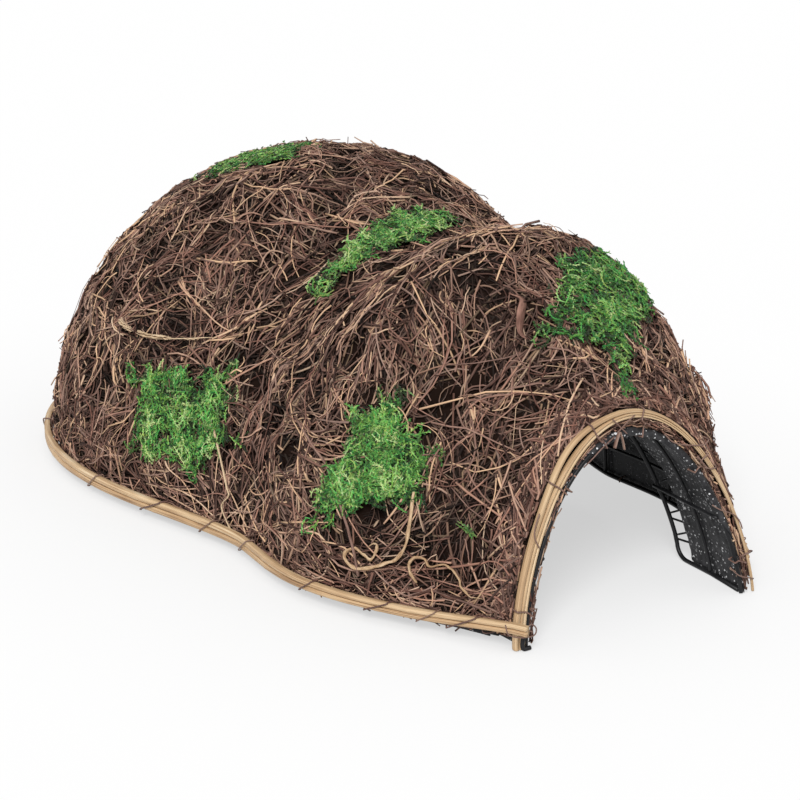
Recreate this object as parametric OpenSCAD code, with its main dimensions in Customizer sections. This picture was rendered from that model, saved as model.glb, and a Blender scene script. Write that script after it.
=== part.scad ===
// Hedgehog house: a brushwood dome with a waist, laid over a lined wire frame.
// The entrance faces -Y. Stations are measured along the ground from the entrance to the rear.

/* [Plan of the rim] */
// Length from the entrance to the rear of the rim
length = 695; // [600:1:760]
// Half-width of the rim at the entrance
door_half_w = 108; // [98:1:120]
// Half-width of the front chamber at the rim
front_half_w = 185; // [170:1:200]
// Station where the front chamber is widest
front_at = 186; // [160:1:200]
// Half-width at the waist
waist_half_w = 181; // [165:1:184]
// Station of the waist
waist_at = 250; // [240:1:280]
// Half-width of the rear chamber at the rim
rear_half_w = 218; // [200:1:235]
// Station where the rear chamber is widest
rear_at = 458; // [430:1:490]
// How softly the outline turns at the waist
pinch = 1.5; // [1.2:0.1:2]

/* [Ridge line] */
// Height of the entrance arch
door_h = 149; // [140:1:158]
// Height of the front chamber's skin
front_h = 245; // [225:1:260]
// Station of the front chamber's top
front_top_at = 170; // [150:1:190]
// Height of the skin at the saddle between the chambers
saddle_h = 208; // [195:1:224]
// Station of the saddle
saddle_at = 256; // [245:1:285]
// Height of the rear chamber's skin
rear_h = 255; // [240:1:275]
// Station of the rear chamber's top
rear_top_at = 413; // [390:1:430]

/* [Sections] */
// Fullness of the entrance arch: 2 is an ellipse and less is more pointed
door_full = 1.55; // [1.4:0.05:1.7]
// Fullness of the front chamber's section
front_full = 1.9; // [1.7:0.05:2.1]
// Fullness of the rear chamber's section
rear_full = 2; // [1.9:0.05:2.3]
// Backward lean of the entrance, in degrees
lean = 7.5; // [4:0.5:10]

/* [Brushwood and lining] */
// Thickness of the brushwood
thatch_t = 14; // [10:0.5:18]
// Height of the brushwood's lower edge
thatch_low = 9; // [8.5:0.5:11]
// Depth of the hollows between bundles of brushwood, as a share of its thickness
hollow_part = 0.5; // [0.3:0.05:0.6]
// Spacing of the hollows along the house
hollow_pitch = 60; // [50:1:72]
// Depth of the entrance arch's top below the dome's skin
door_skin = 3; // [2:0.5:4]
// Length over which the brushwood thickens behind the entrance
collar_len = 80; // [60:1:100]
// Thickness of the chamber lining
liner_t = 1.5; // [1:0.1:2]
// Station where the front lining starts
liner_at = 30; // [26:1:40]
// Thickness of the tunnel lining
tunnel_liner_t = 1.2; // [0.8:0.1:1.6]

/* [Wire frame] */
// Diameter of the ground ring
ring_d = 3.5; // [3:0.1:4]
// Station where the ground ring starts
ring_at = 24; // [22:1:30]
// Diameter of the chamber hoops and rear ribs
hoop_d = 3; // [2.4:0.1:3.4]
// Diameter of the ridge wire and the belt wire
rail_d = 2.6; // [2:0.1:3]
// Height of the belt wire
belt_z = 28; // [20:1:30]
// Station of the front hoop
front_hoop_at = 176; // [165:1:190]
// Distance of the waist hoop behind the waist
waist_hoop_past = 6; // [4:1:12]
// Station of the rear chamber's first hoop
neck_hoop_at = 352; // [335:1:365]
// Angle of the rear ribs up from the ground, seen along the house
rib_angle = 52; // [45:1:60]

/* [Entrance tunnel] */
// Diameter of the tunnel's main wires
tunnel_d = 3.2; // [2.8:0.1:3.6]
// Diameter of the tunnel's middle hoop and rails
tunnel_rail_d = 2.6; // [2:0.1:3]
// Drop from the arch's top to the entrance hoop's wire
tunnel_drop = 16; // [13:0.5:20]
// Fullness of the entrance hoop
tunnel_full = 1.5; // [1.4:0.05:1.55]
// Fullness of the inner hoop, whose legs stand straighter
inner_full = 1.25; // [1.15:0.05:1.4]
// How much higher the inner hoop stands than the entrance hoop
inner_rise = 9; // [4:1:14]
// How much wider the inner hoop stands than the entrance hoop, each side
inner_spread = 5.5; // [2:0.5:8]
// Station of the inner hoop
inner_at = 80; // [72:1:90]
// Bend radius where a runner turns up into the inner hoop
runner_bend = 12; // [8:1:16]
// Height of the tunnel rails
tunnel_rail_z = 60; // [50:1:70]
// Bare stretch between the tunnel lining and the inner hoop
tunnel_bare = 14; // [11:0.5:18]
// Diameter of the lacing wires on the bare stretch
lacing_d = 1.6; // [1.2:0.1:2]

/* [Canes] */
// Height of the rim's lower edge
rim_low = 8; // [7:0.5:9]
// How far the rim rises towards the entrance
rim_lift = 5; // [0:0.5:8]
// Thickness of the rim canes
cane_t = 5; // [4:0.1:6]
// Height of each of the two rim canes
cane_h = 4.8; // [4:0.1:6]
// How far the rim canes run past the entrance on the left
rim_past = 10; // [6:1:14]
// How far behind the entrance the rim canes end on the right
rim_short = 8; // [6:1:14]
// Depth of the arch canes, front to back
arch_cane_d = 5; // [4.5:0.1:7]
// Share of its thickness that an arch cane keeps at the right foot
arch_thin = 0.55; // [0.45:0.05:0.8]
// Thickness of the outer arch cane
outer_cane_t = 3.2; // [2.6:0.1:4]
// Thickness of the middle arch cane
middle_cane_t = 2.3; // [1.8:0.1:3]
// Thickness of the inner arch cane
inner_cane_t = 2.1; // [1.6:0.1:2.6]
// Height of the arch canes' cut ends
arch_foot = 1; // [0.5:0.1:2]
// How far the outer arch cane springs off the others at its loosest
cane_spring = 4; // [2:0.5:5]

/* [Binding wire] */
// Diameter of the binding wire
tie_d = 1.2; // [0.9:0.1:1.4]
// How far a tie slants along the rim, each way from its middle
tie_slant = 8; // [5:0.5:10]
// Length of a tie's free tail
tie_tail = 6; // [3:0.5:8]

/* [Moss and stray wood] */
// Thickness of the moss cushions at the middle
moss_t = 6; // [4:0.5:8]
// Thickness of the moss at its edge
moss_edge_t = 1.6; // [1:0.1:2]
// Diameter of the curly roots
root_d = 3; // [2:0.1:3.6]
// Diameter of the bark stick
stick_d = 5; // [3.5:0.1:6]
// Diameter of the pale stem
stem_d = 2.2; // [1.6:0.1:2.8]

/* [Fits] */
// Clearance between pieces that lie against each other
fit = 0.3; // [0.2:0.05:0.4]
// Clearance between wires that are joined
weld = 0.2; // [0.1:0.05:0.3]

/* [Hidden] */

// The origin is the middle of the footprint, on the ground.
origin_y = (length + fit + tie_d - rim_past) / 2;

// Sides of a wire's section, and the gap between two chamber mats at the waist.
wire_sides = 6;
ring_sides = 8;
mat_gap = 2 * fit;
waist_hoop_at = waist_at + waist_hoop_past;

// The rim's canes, stacked from its lower edge.
rim_top = rim_low + 2 * cane_h + fit;
arch_half_w = door_half_w - cane_t - fit;
arch_bundle = outer_cane_t + middle_cane_t + inner_cane_t + 2 * fit;

// The brushwood starts behind the arch canes and the ties that hold them.
thatch_at = arch_cane_d + tie_d + 3 * fit;
tunnel_at = arch_cane_d / 2;
tunnel_h = door_h - tunnel_drop;
inner_h = tunnel_h + inner_rise;
tunnel_half_w = arch_half_w - arch_bundle - fit - tunnel_d / 2;
inner_half_w = tunnel_half_w + inner_spread;
tunnel_liner_in = tunnel_d / 2 + fit;
tunnel_liner_out = tunnel_liner_in + tunnel_liner_t;

// Depths under the rim's outer face, layer by layer: [width at the door, height at the door, chamber].
skin_depth = cane_t + tie_d + 3 * fit;
front_top = front_h + skin_depth;
saddle_top = saddle_h + skin_depth;
rear_top = rear_h + skin_depth;
thatch_out = [skin_depth, door_skin, skin_depth];
thatch_in = [
    door_half_w - tunnel_half_w - tunnel_liner_out - fit,
    door_h - tunnel_h - tunnel_liner_out - fit,
    skin_depth + thatch_t
];
liner_out = deeper(thatch_in, fit);
liner_in = deeper(liner_out, liner_t);
hoop_layer = deeper(liner_in, fit + weld + hoop_d / 2);
rail_layer = deeper(hoop_layer, hoop_d / 2 + 2 * weld + rail_d / 2);
ring_layer = [
    door_half_w - tunnel_half_w - tunnel_d / 2 - weld - ring_d / 2,
    0,
    hoop_layer[2]
];
no_layer = [0, 0, 0];
hoop_low = ring_d + weld;

// Stations and angles of the grids. The hoops stand on grid stations and the rear ribs on a grid angle,
// so that the lining's flat facets follow them.
front_stations = concat([thatch_at],
    steps(liner_at, front_hoop_at, 8), steps(front_hoop_at, waist_at - mat_gap / 2, 5, 1));
rear_stations = concat(steps(waist_at + mat_gap / 2, waist_hoop_at, 1),
    steps(waist_hoop_at, neck_hoop_at, 4, 1), steps(neck_hoop_at, rear_at, 3, 1));
slice_angles = steps(0, 90, 7, 1);
half_turns = concat(steps(0, rib_angle, 5), steps(rib_angle, 90, 4, 1));
grid_turns = concat(half_turns, [for (i = [len(half_turns) - 2:-1:0]) 180 - half_turns[i]]);
rear_grid = concat(rear_stations, [for (tip = slice_angles) rear_at + (length - rear_at) * tip / 90]);
// The brushwood's outer face has finer grids, for its bundles.
bundle_turns = steps(0, 180, 40);
front_bundles = steps(thatch_at, waist_at - mat_gap / 2, 16);
rear_bundles = concat(steps(waist_at + mat_gap / 2, rear_at, 13), steps(rear_at, length, 20, 1));
arch_turns = steps(0, 180, 24);

// Places along the rim where ties go round it, on both sides, and behind the rear chamber.
tie_stations = [for (m = [49, 83, 132, 216, 347, 417, 505, 612]) mark(m)];
tie_turns = [30, 60, 90, 120, 150];
// Turns round the arch where ties hold it to the entrance hoop.
arch_tie_turns = [16, 50, 82, 106, 128, 164];

// Plain helpers. A mark is a station in thousandths of the length.
function mark(m) = m * length / 1000;
function mix(a, b, f) = a + (b - a) * f;
function steps(a, b, n, from = 0) = [for (i = [from:n]) mix(a, b, i / n)];
function clamp01(f) = min(1, max(0, f));
function unit(v) = v / norm(v);
function flat(lists) = [for (l = lists) each l];
function reversed(l) = [for (i = [len(l) - 1:-1:0]) l[i]];
function deeper(layer, d) = [layer[0] + d, layer[1] + d, layer[2] + d];
function bump(f, middle, spread) = exp(-pow((f - middle) / spread, 2));

// Rise from 0 to 1 that arrives level.
function rise(f, power) = pow(sin(90 * clamp01(f)), power);

// A measure that swells from the door to the front chamber, draws in and swells again.
function swell(s, door, front, front_s, waist, waist_s, rear, rear_s, power) =
    s <= front_s ? door + (front - door) * rise(s / front_s, power) :
    s <= waist_s ? waist + (front - waist) * rise((waist_s - s) / (waist_s - front_s), pinch) :
    waist + (rear - waist) * rise((s - waist_s) / (rear_s - waist_s), pinch);

door_flare = 1.25;
function layer_depth(s, layer, at_door) = mix(layer[at_door], layer[2], rise(s / collar_len, 1));
function half_w(s, layer) =
    swell(s, door_half_w, front_half_w, front_at, waist_half_w, waist_at, rear_half_w, rear_at, door_flare)
    - layer_depth(s, layer, 0);
function ridge_h(s, layer) =
    s > rear_top_at
    ? (rear_top - layer[2]) * sqrt(1 - pow((s - rear_top_at) / (length - layer[2] - rear_top_at), 2))
    : swell(s, door_h, front_top, front_top_at, saddle_top, saddle_at, rear_top, rear_top_at, 1)
        - layer_depth(s, layer, 1);
function fullness(s) =
    s <= front_at ? mix(door_full, front_full, s / front_at)
    : mix(front_full, rear_full, clamp01((s - front_at) / (rear_at - front_at)));
function lean_at(s, z) = s + z * tan(lean) * clamp01((front_at - s) / (front_at - thatch_at));

// A point of an upright section. Turn 0 is the right foot, 90 the ridge and 180 the left foot.
function section_point(s, turn, layer, low) =
    let(z = low + (ridge_h(s, layer) - low) * pow(sin(turn), 2 / fullness(s)))
    [half_w(s, layer) * cos(turn), lean_at(s, z), z];

// Behind the widest station the sections tip over backwards until they lie flat on the rim.
function slice_reach(tip, layer, low) =
    let(a = length - layer[2] - rear_top_at, h = rear_top - layer[2], off = rear_at - rear_top_at)
    let(qa = pow(sin(tip) / a, 2) + pow(cos(tip) / h, 2))
    let(qb = off * sin(tip) / (a * a) + low * cos(tip) / (h * h))
    let(qc = pow(off / a, 2) + pow(low / h, 2) - 1)
    (sqrt(qb * qb - qa * qc) - qb) / qa;
function slice_point(tip, turn, layer, low) =
    let(r = slice_reach(tip, layer, low) * pow(sin(turn), 2 / rear_full))
    [(rear_half_w - layer[2]) * cos(turn), rear_at + r * sin(tip), low + r * cos(tip)];

// The plan outline at one height, from the front left round the rear to the front right.
function plan_left(s, layer, z) = [-half_w(s, layer), s, z];
function lift_at(s) = rim_lift * (1 - rise(s / collar_len, 1));
function plan_rear(turn, layer, z) =
    [(rear_half_w - layer[2]) * cos(turn),
     rear_at + (length - layer[2] - rear_at) * pow(sin(turn), 2 / rear_full), z];
function mirror_x(points) = [for (p = reversed(points)) [-p[0], p[1], p[2]]];
function plan_path(from_s, layer, z) =
    let(left = [for (s = steps(from_s, rear_at, 26)) plan_left(s, layer, z)])
    concat(left, [for (turn = steps(180, 0, 30, 1)) if (turn > 0) plan_rear(turn, layer, z)], mirror_x(left));

// A leaning arch in its own plane: point, outward normal and a place in front, behind or beneath it.
function arch_xz(turn, hw, h, full, low) = [hw * cos(turn), low + (h - low) * pow(sin(turn), 2 / full)];
function arch_run(turn, hw, h, full, low) =
    unit(arch_xz(min(180, turn + 0.5), hw, h, full, low) - arch_xz(max(0, turn - 0.5), hw, h, full, low));
function arch_place(turn, hw, h, full, low, out, s, along) =
    let(p = arch_xz(turn, hw, h, full, low), run = arch_run(turn, hw, h, full, low))
    let(q = p + [run[1], -run[0]] * out + run * along)
    [q[0], s + q[1] * tan(lean), q[1]];

// Faces of a solid that runs through a list of rings of points. A point that repeats the one before it,
// in its ring or in the ring before, is the same corner. A band's ring goes out along one face and back
// along the other.
function same(p, q) = norm(p - q) < 0.001;
function first_of(rings, i, k) =
    i > 0 && same(rings[i][k], rings[i - 1][k]) ? first_of(rings, i - 1, k)
    : k > 0 && same(rings[i][k], rings[i][k - 1]) ? first_of(rings, i, k - 1)
    : i * len(rings[0]) + k;
function whole(face) = face[0] != face[1] && face[1] != face[2] && face[0] != face[2];
function fan(ids) = [for (k = [1:len(ids) - 2]) [ids[0], ids[k], ids[k + 1]]];
function strip(ids) =
    let(n = len(ids))
    [for (k = [0:n / 2 - 2])
        each [[ids[k], ids[k + 1], ids[n - 2 - k]], [ids[k], ids[n - 2 - k], ids[n - 1 - k]]]];
function ring_faces(rings, band) =
    let(m = len(rings), n = len(rings[0]))
    let(id = [for (i = [0:m - 1]) [for (k = [0:n - 1]) first_of(rings, i, k)]])
    let(sides = [for (i = [0:m - 2]) for (k = [0:n - 1]) let(j = (k + 1) % n)
        each [[id[i][k], id[i][j], id[i + 1][j]], [id[i][k], id[i + 1][j], id[i + 1][k]]]])
    let(start = band ? strip(id[0]) : fan(id[0]), end = band ? strip(id[m - 1]) : fan(id[m - 1]))
    [for (f = concat(sides, [for (f = start) reversed(f)], end)) if (whole(f)) f];
function six_volumes(points, faces) =
    let(parts = [for (f = faces) points[f[0]] * cross(points[f[1]], points[f[2]])])
    parts * [for (p = parts) 1];

module through_rings(rings, band = false) {
    points = flat(rings);
    faces = ring_faces(rings, band);
    outward = six_volumes(points, faces) < 0 ? faces : [for (f = faces) reversed(f)];
    translate([0, -origin_y, 0])
        polyhedron(points, outward, convexity = 10);
}

// A tube of flat-sided section along a path. The section's second axis starts square to the path, nearest
// to ref, and is carried along the path.
function carried(runs, i, axis) =
    i == len(runs) ? [] :
    let(b = unit(axis - (axis * runs[i]) * runs[i]))
    concat([b], carried(runs, i + 1, b));
function tube_ring(p, run, b, d, sides) =
    let(a = cross(b, run), r = d / 2 / cos(180 / sides))
    [for (k = [0:sides - 1]) let(c = 360 * (k + 0.5) / sides) p + r * (cos(c) * a + sin(c) * b)];
function tube_rings(path, d, sides, ref) =
    let(last = len(path) - 1)
    let(runs = [for (i = [0:last]) unit(path[min(last, i + 1)] - path[max(0, i - 1)])])
    let(axes = carried(runs, 0, ref))
    [for (i = [0:last]) tube_ring(path[i], runs[i], axes[i], d, sides)];

module wire(path, d, ref) {
    through_rings(tube_rings(path, d, wire_sides, ref));
}

module rod(from, to, d) {
    v = to - from;
    translate([0, -origin_y, 0])
        translate(from)
            rotate([0, acos(v[2] / norm(v)), atan2(v[1], v[0])])
                cylinder(h = norm(v), d = d, $fn = 24);
}

// Wire frame of the chambers

// The ground ring rises towards the entrance, behind the lifted rim.
ring_lift = 1.2;
module ground_ring() {
    path = plan_path(ring_at, ring_layer, ring_d / 2);
    rings = tube_rings(path, ring_d, ring_sides, [0, 0, 1]);
    color("black")
        through_rings([for (i = [0:len(path) - 1])
            [for (p = rings[i]) p + [0, 0, ring_lift * lift_at(path[i][1])]]]);
}

module chamber_hoop(s) {
    color("black")
        wire([for (turn = grid_turns) section_point(s, turn, hoop_layer, hoop_low)], hoop_d, [0, 1, 0]);
}

module front_hoop() {
    chamber_hoop(front_hoop_at);
}

module waist_hoop() {
    chamber_hoop(waist_hoop_at);
}

module neck_hoop() {
    chamber_hoop(neck_hoop_at);
}

module main_hoop() {
    chamber_hoop(rear_at);
}

// A rib starts behind the main hoop and runs down to the ground ring at the rear.
module rear_rib(turn) {
    top = slice_point(0, turn, hoop_layer, hoop_low);
    next = slice_point(slice_angles[0], turn, hoop_layer, hoop_low);
    start = mix(top, next, (hoop_d + weld) / (next[1] - top[1]));
    path = concat([start], [for (tip = slice_angles) slice_point(tip, turn, hoop_layer, hoop_low)]);
    color("black")
        wire(path, hoop_d, [1, 0, 0]);
}

module rear_rib_left() {
    rear_rib(180 - rib_angle);
}

module rear_rib_right() {
    rear_rib(rib_angle);
}

// The tip angle at which the rear of the rails' layer comes down to a height.
function rear_tip(z) =
    let(a = length - rail_layer[2] - rear_top_at, h = rear_top - rail_layer[2])
    atan2(rear_top_at + a * sqrt(1 - pow(z / h, 2)) - rear_at, z - hoop_low);

// The ridge wire hangs under the hoops and comes down onto the belt wire at the rear.
module ridge_wire() {
    stations = concat(steps(liner_at, front_hoop_at, 6), steps(front_hoop_at, waist_hoop_at, 5, 1),
        steps(waist_hoop_at, neck_hoop_at, 4, 1), steps(neck_hoop_at, rear_at, 3, 1));
    over = [for (s = stations) section_point(s, 90, rail_layer, hoop_low)];
    last_tip = rear_tip(belt_z + rail_d / 2 / cos(180 / wire_sides) + 2 * weld);
    down = [for (tip = steps(0, last_tip, 9, 1)) slice_point(tip, 90, rail_layer, hoop_low)];
    color("black")
        wire(concat(over, down), rail_d, [1, 0, 0]);
}

// The belt wire runs round inside the hoops and ribs at one height, open at the entrance.
function belt_side(s) =
    let(foot = section_point(s, 180, rail_layer, hoop_low))
    let(next = section_point(s, 180 - half_turns[1], rail_layer, hoop_low))
    mix(foot, next, clamp01((belt_z - hoop_low) / (next[2] - hoop_low)));
function belt_corner(tip) =
    let(reach = slice_reach(tip, rail_layer, hoop_low) * cos(tip))
    slice_point(tip, 180 - asin(pow((belt_z - hoop_low) / reach, rear_full / 2)), rail_layer, hoop_low);
function belt_rear(turn) =
    let(foot = slice_point(90, turn, rail_layer, hoop_low))
    let(next = slice_point(slice_angles[len(slice_angles) - 2], turn, rail_layer, hoop_low))
    mix(foot, next, (belt_z - hoop_low) / (next[2] - hoop_low));

module belt_wire() {
    belt_at = inner_at + runner_bend + tunnel_d;
    stations = concat(steps(belt_at, front_hoop_at, 4), steps(front_hoop_at, waist_hoop_at, 4, 1),
        steps(waist_hoop_at, neck_hoop_at, 4, 1), steps(neck_hoop_at, rear_at, 4, 1));
    turns = concat(steps(180 - rib_angle * 0.8, 180 - rib_angle, 2), steps(180 - rib_angle, 90, 5, 1));
    corner_y = belt_rear(turns[0])[1] - rear_at;
    corners = [for (y = steps(0, corner_y, 5, 1)) if (y < corner_y) atan2(y, belt_z - hoop_low)];
    left = concat([for (s = stations) belt_side(s)], [for (tip = corners) belt_corner(tip)],
        [for (turn = turns) if (turn > 90) belt_rear(turn)]);
    color("black")
        wire(concat(left, [belt_rear(90)], mirror_x(left)), rail_d, [0, 0, 1]);
}

// Entrance tunnel

function tunnel_part(s) = (s - tunnel_at) / (inner_at - tunnel_at);
function tunnel_w(s) = mix(tunnel_half_w, inner_half_w, tunnel_part(s));
function tunnel_top(s) = mix(tunnel_h, inner_h, tunnel_part(s));
function tunnel_fullness(s) = mix(tunnel_full, inner_full, tunnel_part(s));
function tunnel_place(s, turn, out, low) =
    arch_place(turn, tunnel_w(s), tunnel_top(s), tunnel_fullness(s), low, out, s, 0);
tunnel_foot = tunnel_d / 4;
tunnel_low = tunnel_d + 3 * weld;
function tunnel_turn(s, z) = asin(pow(z / tunnel_top(s), tunnel_fullness(s) / 2));

module entrance_hoop() {
    color("black")
        wire([for (turn = arch_turns) tunnel_place(tunnel_at, turn, 0, tunnel_foot)], tunnel_d, [0, 1, 0]);
}

module tunnel_middle_hoop() {
    color("black")
        wire([for (turn = arch_turns) tunnel_place((tunnel_at + inner_at) / 2, turn, 0, tunnel_low)],
            tunnel_rail_d, [0, 1, 0]);
}

// Each runner lies on the ground from the entrance hoop's foot and turns up into the inner hoop.
module tunnel_inner_hoop() {
    z = tunnel_d / 2 + weld;
    first_turn = tunnel_turn(inner_at, runner_bend + z);
    turns = [for (i = [0:20]) mix(first_turn, 180 - first_turn, i / 20)];
    hoop = [for (turn = turns) tunnel_place(inner_at, turn, 0, 0)];
    run_s = tunnel_at + tunnel_d + weld;
    corner = hoop[0] - [0, runner_bend, 0];
    bend = [for (c = [0:18:72]) [corner[0], corner[1], z] + runner_bend * [0, sin(c), 1 - cos(c)]];
    right = concat([[tunnel_w(run_s) - fit, run_s, z], [tunnel_w(inner_at / 2), inner_at / 2, z]], bend);
    path = concat(right, [for (i = [1:19]) hoop[i]], mirror_x(right));
    color("black")
        wire(path, tunnel_d, [1, 0, 0]);
}

// A rail lies inside the hoops at one height.
module tunnel_rail(side) {
    inward = -(tunnel_d / 2 / cos(180 / wire_sides) + weld + tunnel_rail_d / 2);
    from = tunnel_place(tunnel_at, tunnel_turn(tunnel_at, tunnel_rail_z), inward, 0);
    to = tunnel_place(inner_at, tunnel_turn(inner_at, tunnel_rail_z), inward, 0);
    color("black")
        mirror([side, 0, 0])
            rod(from, to, tunnel_rail_d);
}

module tunnel_rail_left() {
    tunnel_rail(1);
}

module tunnel_rail_right() {
    tunnel_rail(0);
}

liner_end = inner_at - tunnel_bare;

module tunnel_liner() {
    rings = [for (i = [0:4]) let(s = mix(thatch_at + fit, liner_end, i / 4))
        concat([for (turn = arch_turns) tunnel_place(s, turn, tunnel_liner_out, tunnel_low)],
            [for (turn = reversed(arch_turns)) tunnel_place(s, turn, tunnel_liner_in, tunnel_low)])];
    color("dimgray")
        through_rings(rings, band = true);
}

// Lacing wires zigzag from the outside of the lining's edge over the inner hoop.
module tunnel_lacing() {
    lace_turns = [14, 23, 34, 47, 61];
    lap = 2 * lacing_d;
    on_liner = tunnel_liner_out + lacing_d / 2 + 2 * weld;
    on_hoop = tunnel_d / 2 + lacing_d / 2 + weld;
    color("black")
        for (side = [0, 1])
            mirror([side, 0, 0])
                for (turn = lace_turns)
                    for (step = [-3, 3])
                        rod(tunnel_place(liner_end - lap, turn + step, on_liner, tunnel_low),
                            tunnel_place(inner_at + lap, turn + step / 3, on_hoop, 0), lacing_d);
}

// Lining and brushwood of the chambers

function arch_band(s, out, inn, low) =
    concat([for (turn = grid_turns) section_point(s, turn, out, low)],
        [for (turn = reversed(grid_turns)) section_point(s, turn, inn, low)]);
function slice_band(tip, out, inn, low) =
    concat([for (turn = grid_turns) slice_point(tip, turn, out, low)],
        [for (turn = reversed(grid_turns)) slice_point(tip, turn, inn, low)]);

module front_shell(from_s, out, inn) {
    stations = concat([from_s], [for (s = front_stations) if (s > from_s + 2) s]);
    through_rings([for (s = stations) arch_band(s, out, inn, thatch_low)], band = true);
}

module rear_shell(out, inn) {
    through_rings(concat([for (s = rear_stations) arch_band(s, out, inn, thatch_low)],
        [for (tip = slice_angles) slice_band(tip, out, inn, thatch_low)]), band = true);
}

module front_liner() {
    color("dimgray")
        front_shell(liner_at, liner_out, liner_in);
}

module rear_liner() {
    color("dimgray")
        rear_shell(liner_out, liner_in);
}

// A place on a layer. Stations past the widest one tip backwards.
function skin_point(s, turn, layer) =
    s <= rear_at ? section_point(s, turn, layer, thatch_low)
    : slice_point(90 * (s - rear_at) / (length - rear_at), turn, layer, thatch_low);

// Share of the brushwood's thickness that is missing at a place, in the hollows between its bundles.
// They lie in slanting rows that waver, and end above the rim and behind the entrance.
hollow_turns = 20;
hollow_steep = 1.5;
hollow_rim = 9;
row_slant = 70;
column_slant = 180;
waver = 45;
function hollow(s, turn) =
    let(row = s / hollow_pitch + turn / row_slant, column = turn / hollow_turns - s / column_slant)
    let(wave = sin(360 * row + waver * sin(5 * turn)) * sin(360 * column + waver * sin(2 * s)))
    let(above_rim = (min(turn, 180 - turn) - hollow_rim) / hollow_rim)
    let(behind = 2 * (s - thatch_at) / collar_len)
    hollow_part * clamp01(hollow_steep * wave) * clamp01(above_rim) * clamp01(behind);

function last_at(grid, f) = max([for (g = grid) if (g < f + 0.01) g]);
module brushwood(stations, grid) {
    rings = [for (s = stations) let(under = last_at(grid, s)) concat(
        [for (turn = bundle_turns)
            mix(skin_point(s, turn, thatch_out), skin_point(s, turn, thatch_in), hollow(s, turn))],
        [for (turn = reversed(bundle_turns)) skin_point(under, last_at(grid_turns, turn), thatch_in)])];
    color("saddlebrown")
        through_rings(rings, band = true);
}

module front_brushwood() {
    brushwood(front_bundles, front_stations);
}

module rear_brushwood() {
    brushwood(rear_bundles, rear_grid);
}

// Canes

// Section of a split cane: flat behind, rounded in front. Corners are [depth, across] from 0 to 1.
cane_corners = [[0, 0.3], [0, 0.7], [0.3, 0.95], [0.7, 1], [1, 0.9], [1, 0.1], [0.7, 0], [0.3, 0.05]];

module rim_cane(z) {
    path = [for (p = plan_path(-rim_past, no_layer, z)) if (p[0] < 0 || p[1] > rim_short)
        p + [0, 0, lift_at(p[1])]];
    last = len(path) - 1;
    rings = [for (i = [0:last])
        let(run = unit(path[min(last, i + 1)] - path[max(0, i - 1)]), inward = cross(run, [0, 0, 1]))
        [for (c = cane_corners) path[i] + inward * c[0] * cane_t + [0, 0, c[1] * cane_h]]];
    color("burlywood")
        through_rings(rings);
}

module rim_cane_lower() {
    rim_cane(rim_low);
}

module rim_cane_upper() {
    rim_cane(rim_low + cane_h + fit);
}

// Where the outer arch cane springs off the others, and how far that spreads, in degrees.
spring_at = 117;
spring_spread = 14;

// Share of its thickness that an arch cane has at each turn. It is thinner on the right.
function arch_slim(turn) = mix(arch_thin, 1, rise(turn / 110, 1));

// An arch cane lies round the entrance at one depth. Its spring lifts it off the others on the left.
module arch_cane(depth, t, spring) {
    rings = [for (turn = arch_turns)
        [for (c = cane_corners)
            arch_place(turn, arch_half_w, door_h, door_full, arch_foot,
                spring * bump(turn, spring_at, spring_spread) - arch_slim(turn) * (depth + c[0] * t),
                c[1] * arch_cane_d, 0)]];
    color("burlywood")
        through_rings(rings);
}

module arch_cane_outer() {
    arch_cane(0, outer_cane_t, cane_spring);
}

module arch_cane_middle() {
    arch_cane(outer_cane_t + fit, middle_cane_t, 0);
}

module arch_cane_inner() {
    arch_cane(outer_cane_t + middle_cane_t + 2 * fit, inner_cane_t, 0);
}

// Binding wire

// A tie hooks over the ground ring, passes under the brushwood, goes round both rim canes on a slant and
// comes back to the ring. Places are [share of the way from the rim's face to the ring, further inward,
// height, share of the rim's lift, share of the slant].
tie_out = fit + tie_d / 2;
tie_hook = ring_d / 2 + tie_out + fit;
tie_back = cane_t + tie_out + fit / 2;
tie_route = [
    [1, tie_hook, ring_d / 4, 0, -1],
    [1, tie_hook, ring_d, 0, -1],
    [1, 0, ring_d + tie_out + fit, 0, -1],
    [0.6, 0, (ring_d + rim_low) / 2, 0, -1],
    [0, tie_back, rim_low - tie_out, 0, -1],
    [0, tie_back, rim_top, 1, -1],
    [0, cane_t - tie_d / 2, rim_top + tie_out, 1, -0.95],
    [0, tie_d / 2, rim_top + tie_out, 1, -0.8],
    [0, -tie_out, rim_top - tie_d / 2, 1, -0.65],
    [0, -tie_out, rim_low + tie_d / 2, 0, 0.75],
    [0, tie_d / 2, rim_low - tie_out, 0, 0.9],
    [0, cane_t, rim_low - tie_out, 0, 1],
    [1, -ring_d - tie_out, ring_d, 0, 1],
    [1, -tie_hook, ring_d / 2, 0, 1]
];
function tie_place(p, face, ring, run, lift) =
    mix(face, ring, p[0]) + cross(run, [0, 0, 1]) * p[1]
        + [0, 0, p[2] + (p[3] + p[0] * ring_lift) * lift];
function tie_left(p, s) =
    let(run = unit(plan_left(s + 1, no_layer, 0) - plan_left(s - 1, no_layer, 0)))
    tie_place(p, plan_left(s, no_layer, 0), plan_left(s, ring_layer, 0), run, lift_at(s));
function tie_rear(p, turn) =
    let(run = unit(plan_rear(turn - 1, no_layer, 0) - plan_rear(turn + 1, no_layer, 0)))
    tie_place(p, plan_rear(turn, no_layer, 0), plan_rear(turn, ring_layer, 0), run, 0);

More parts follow.
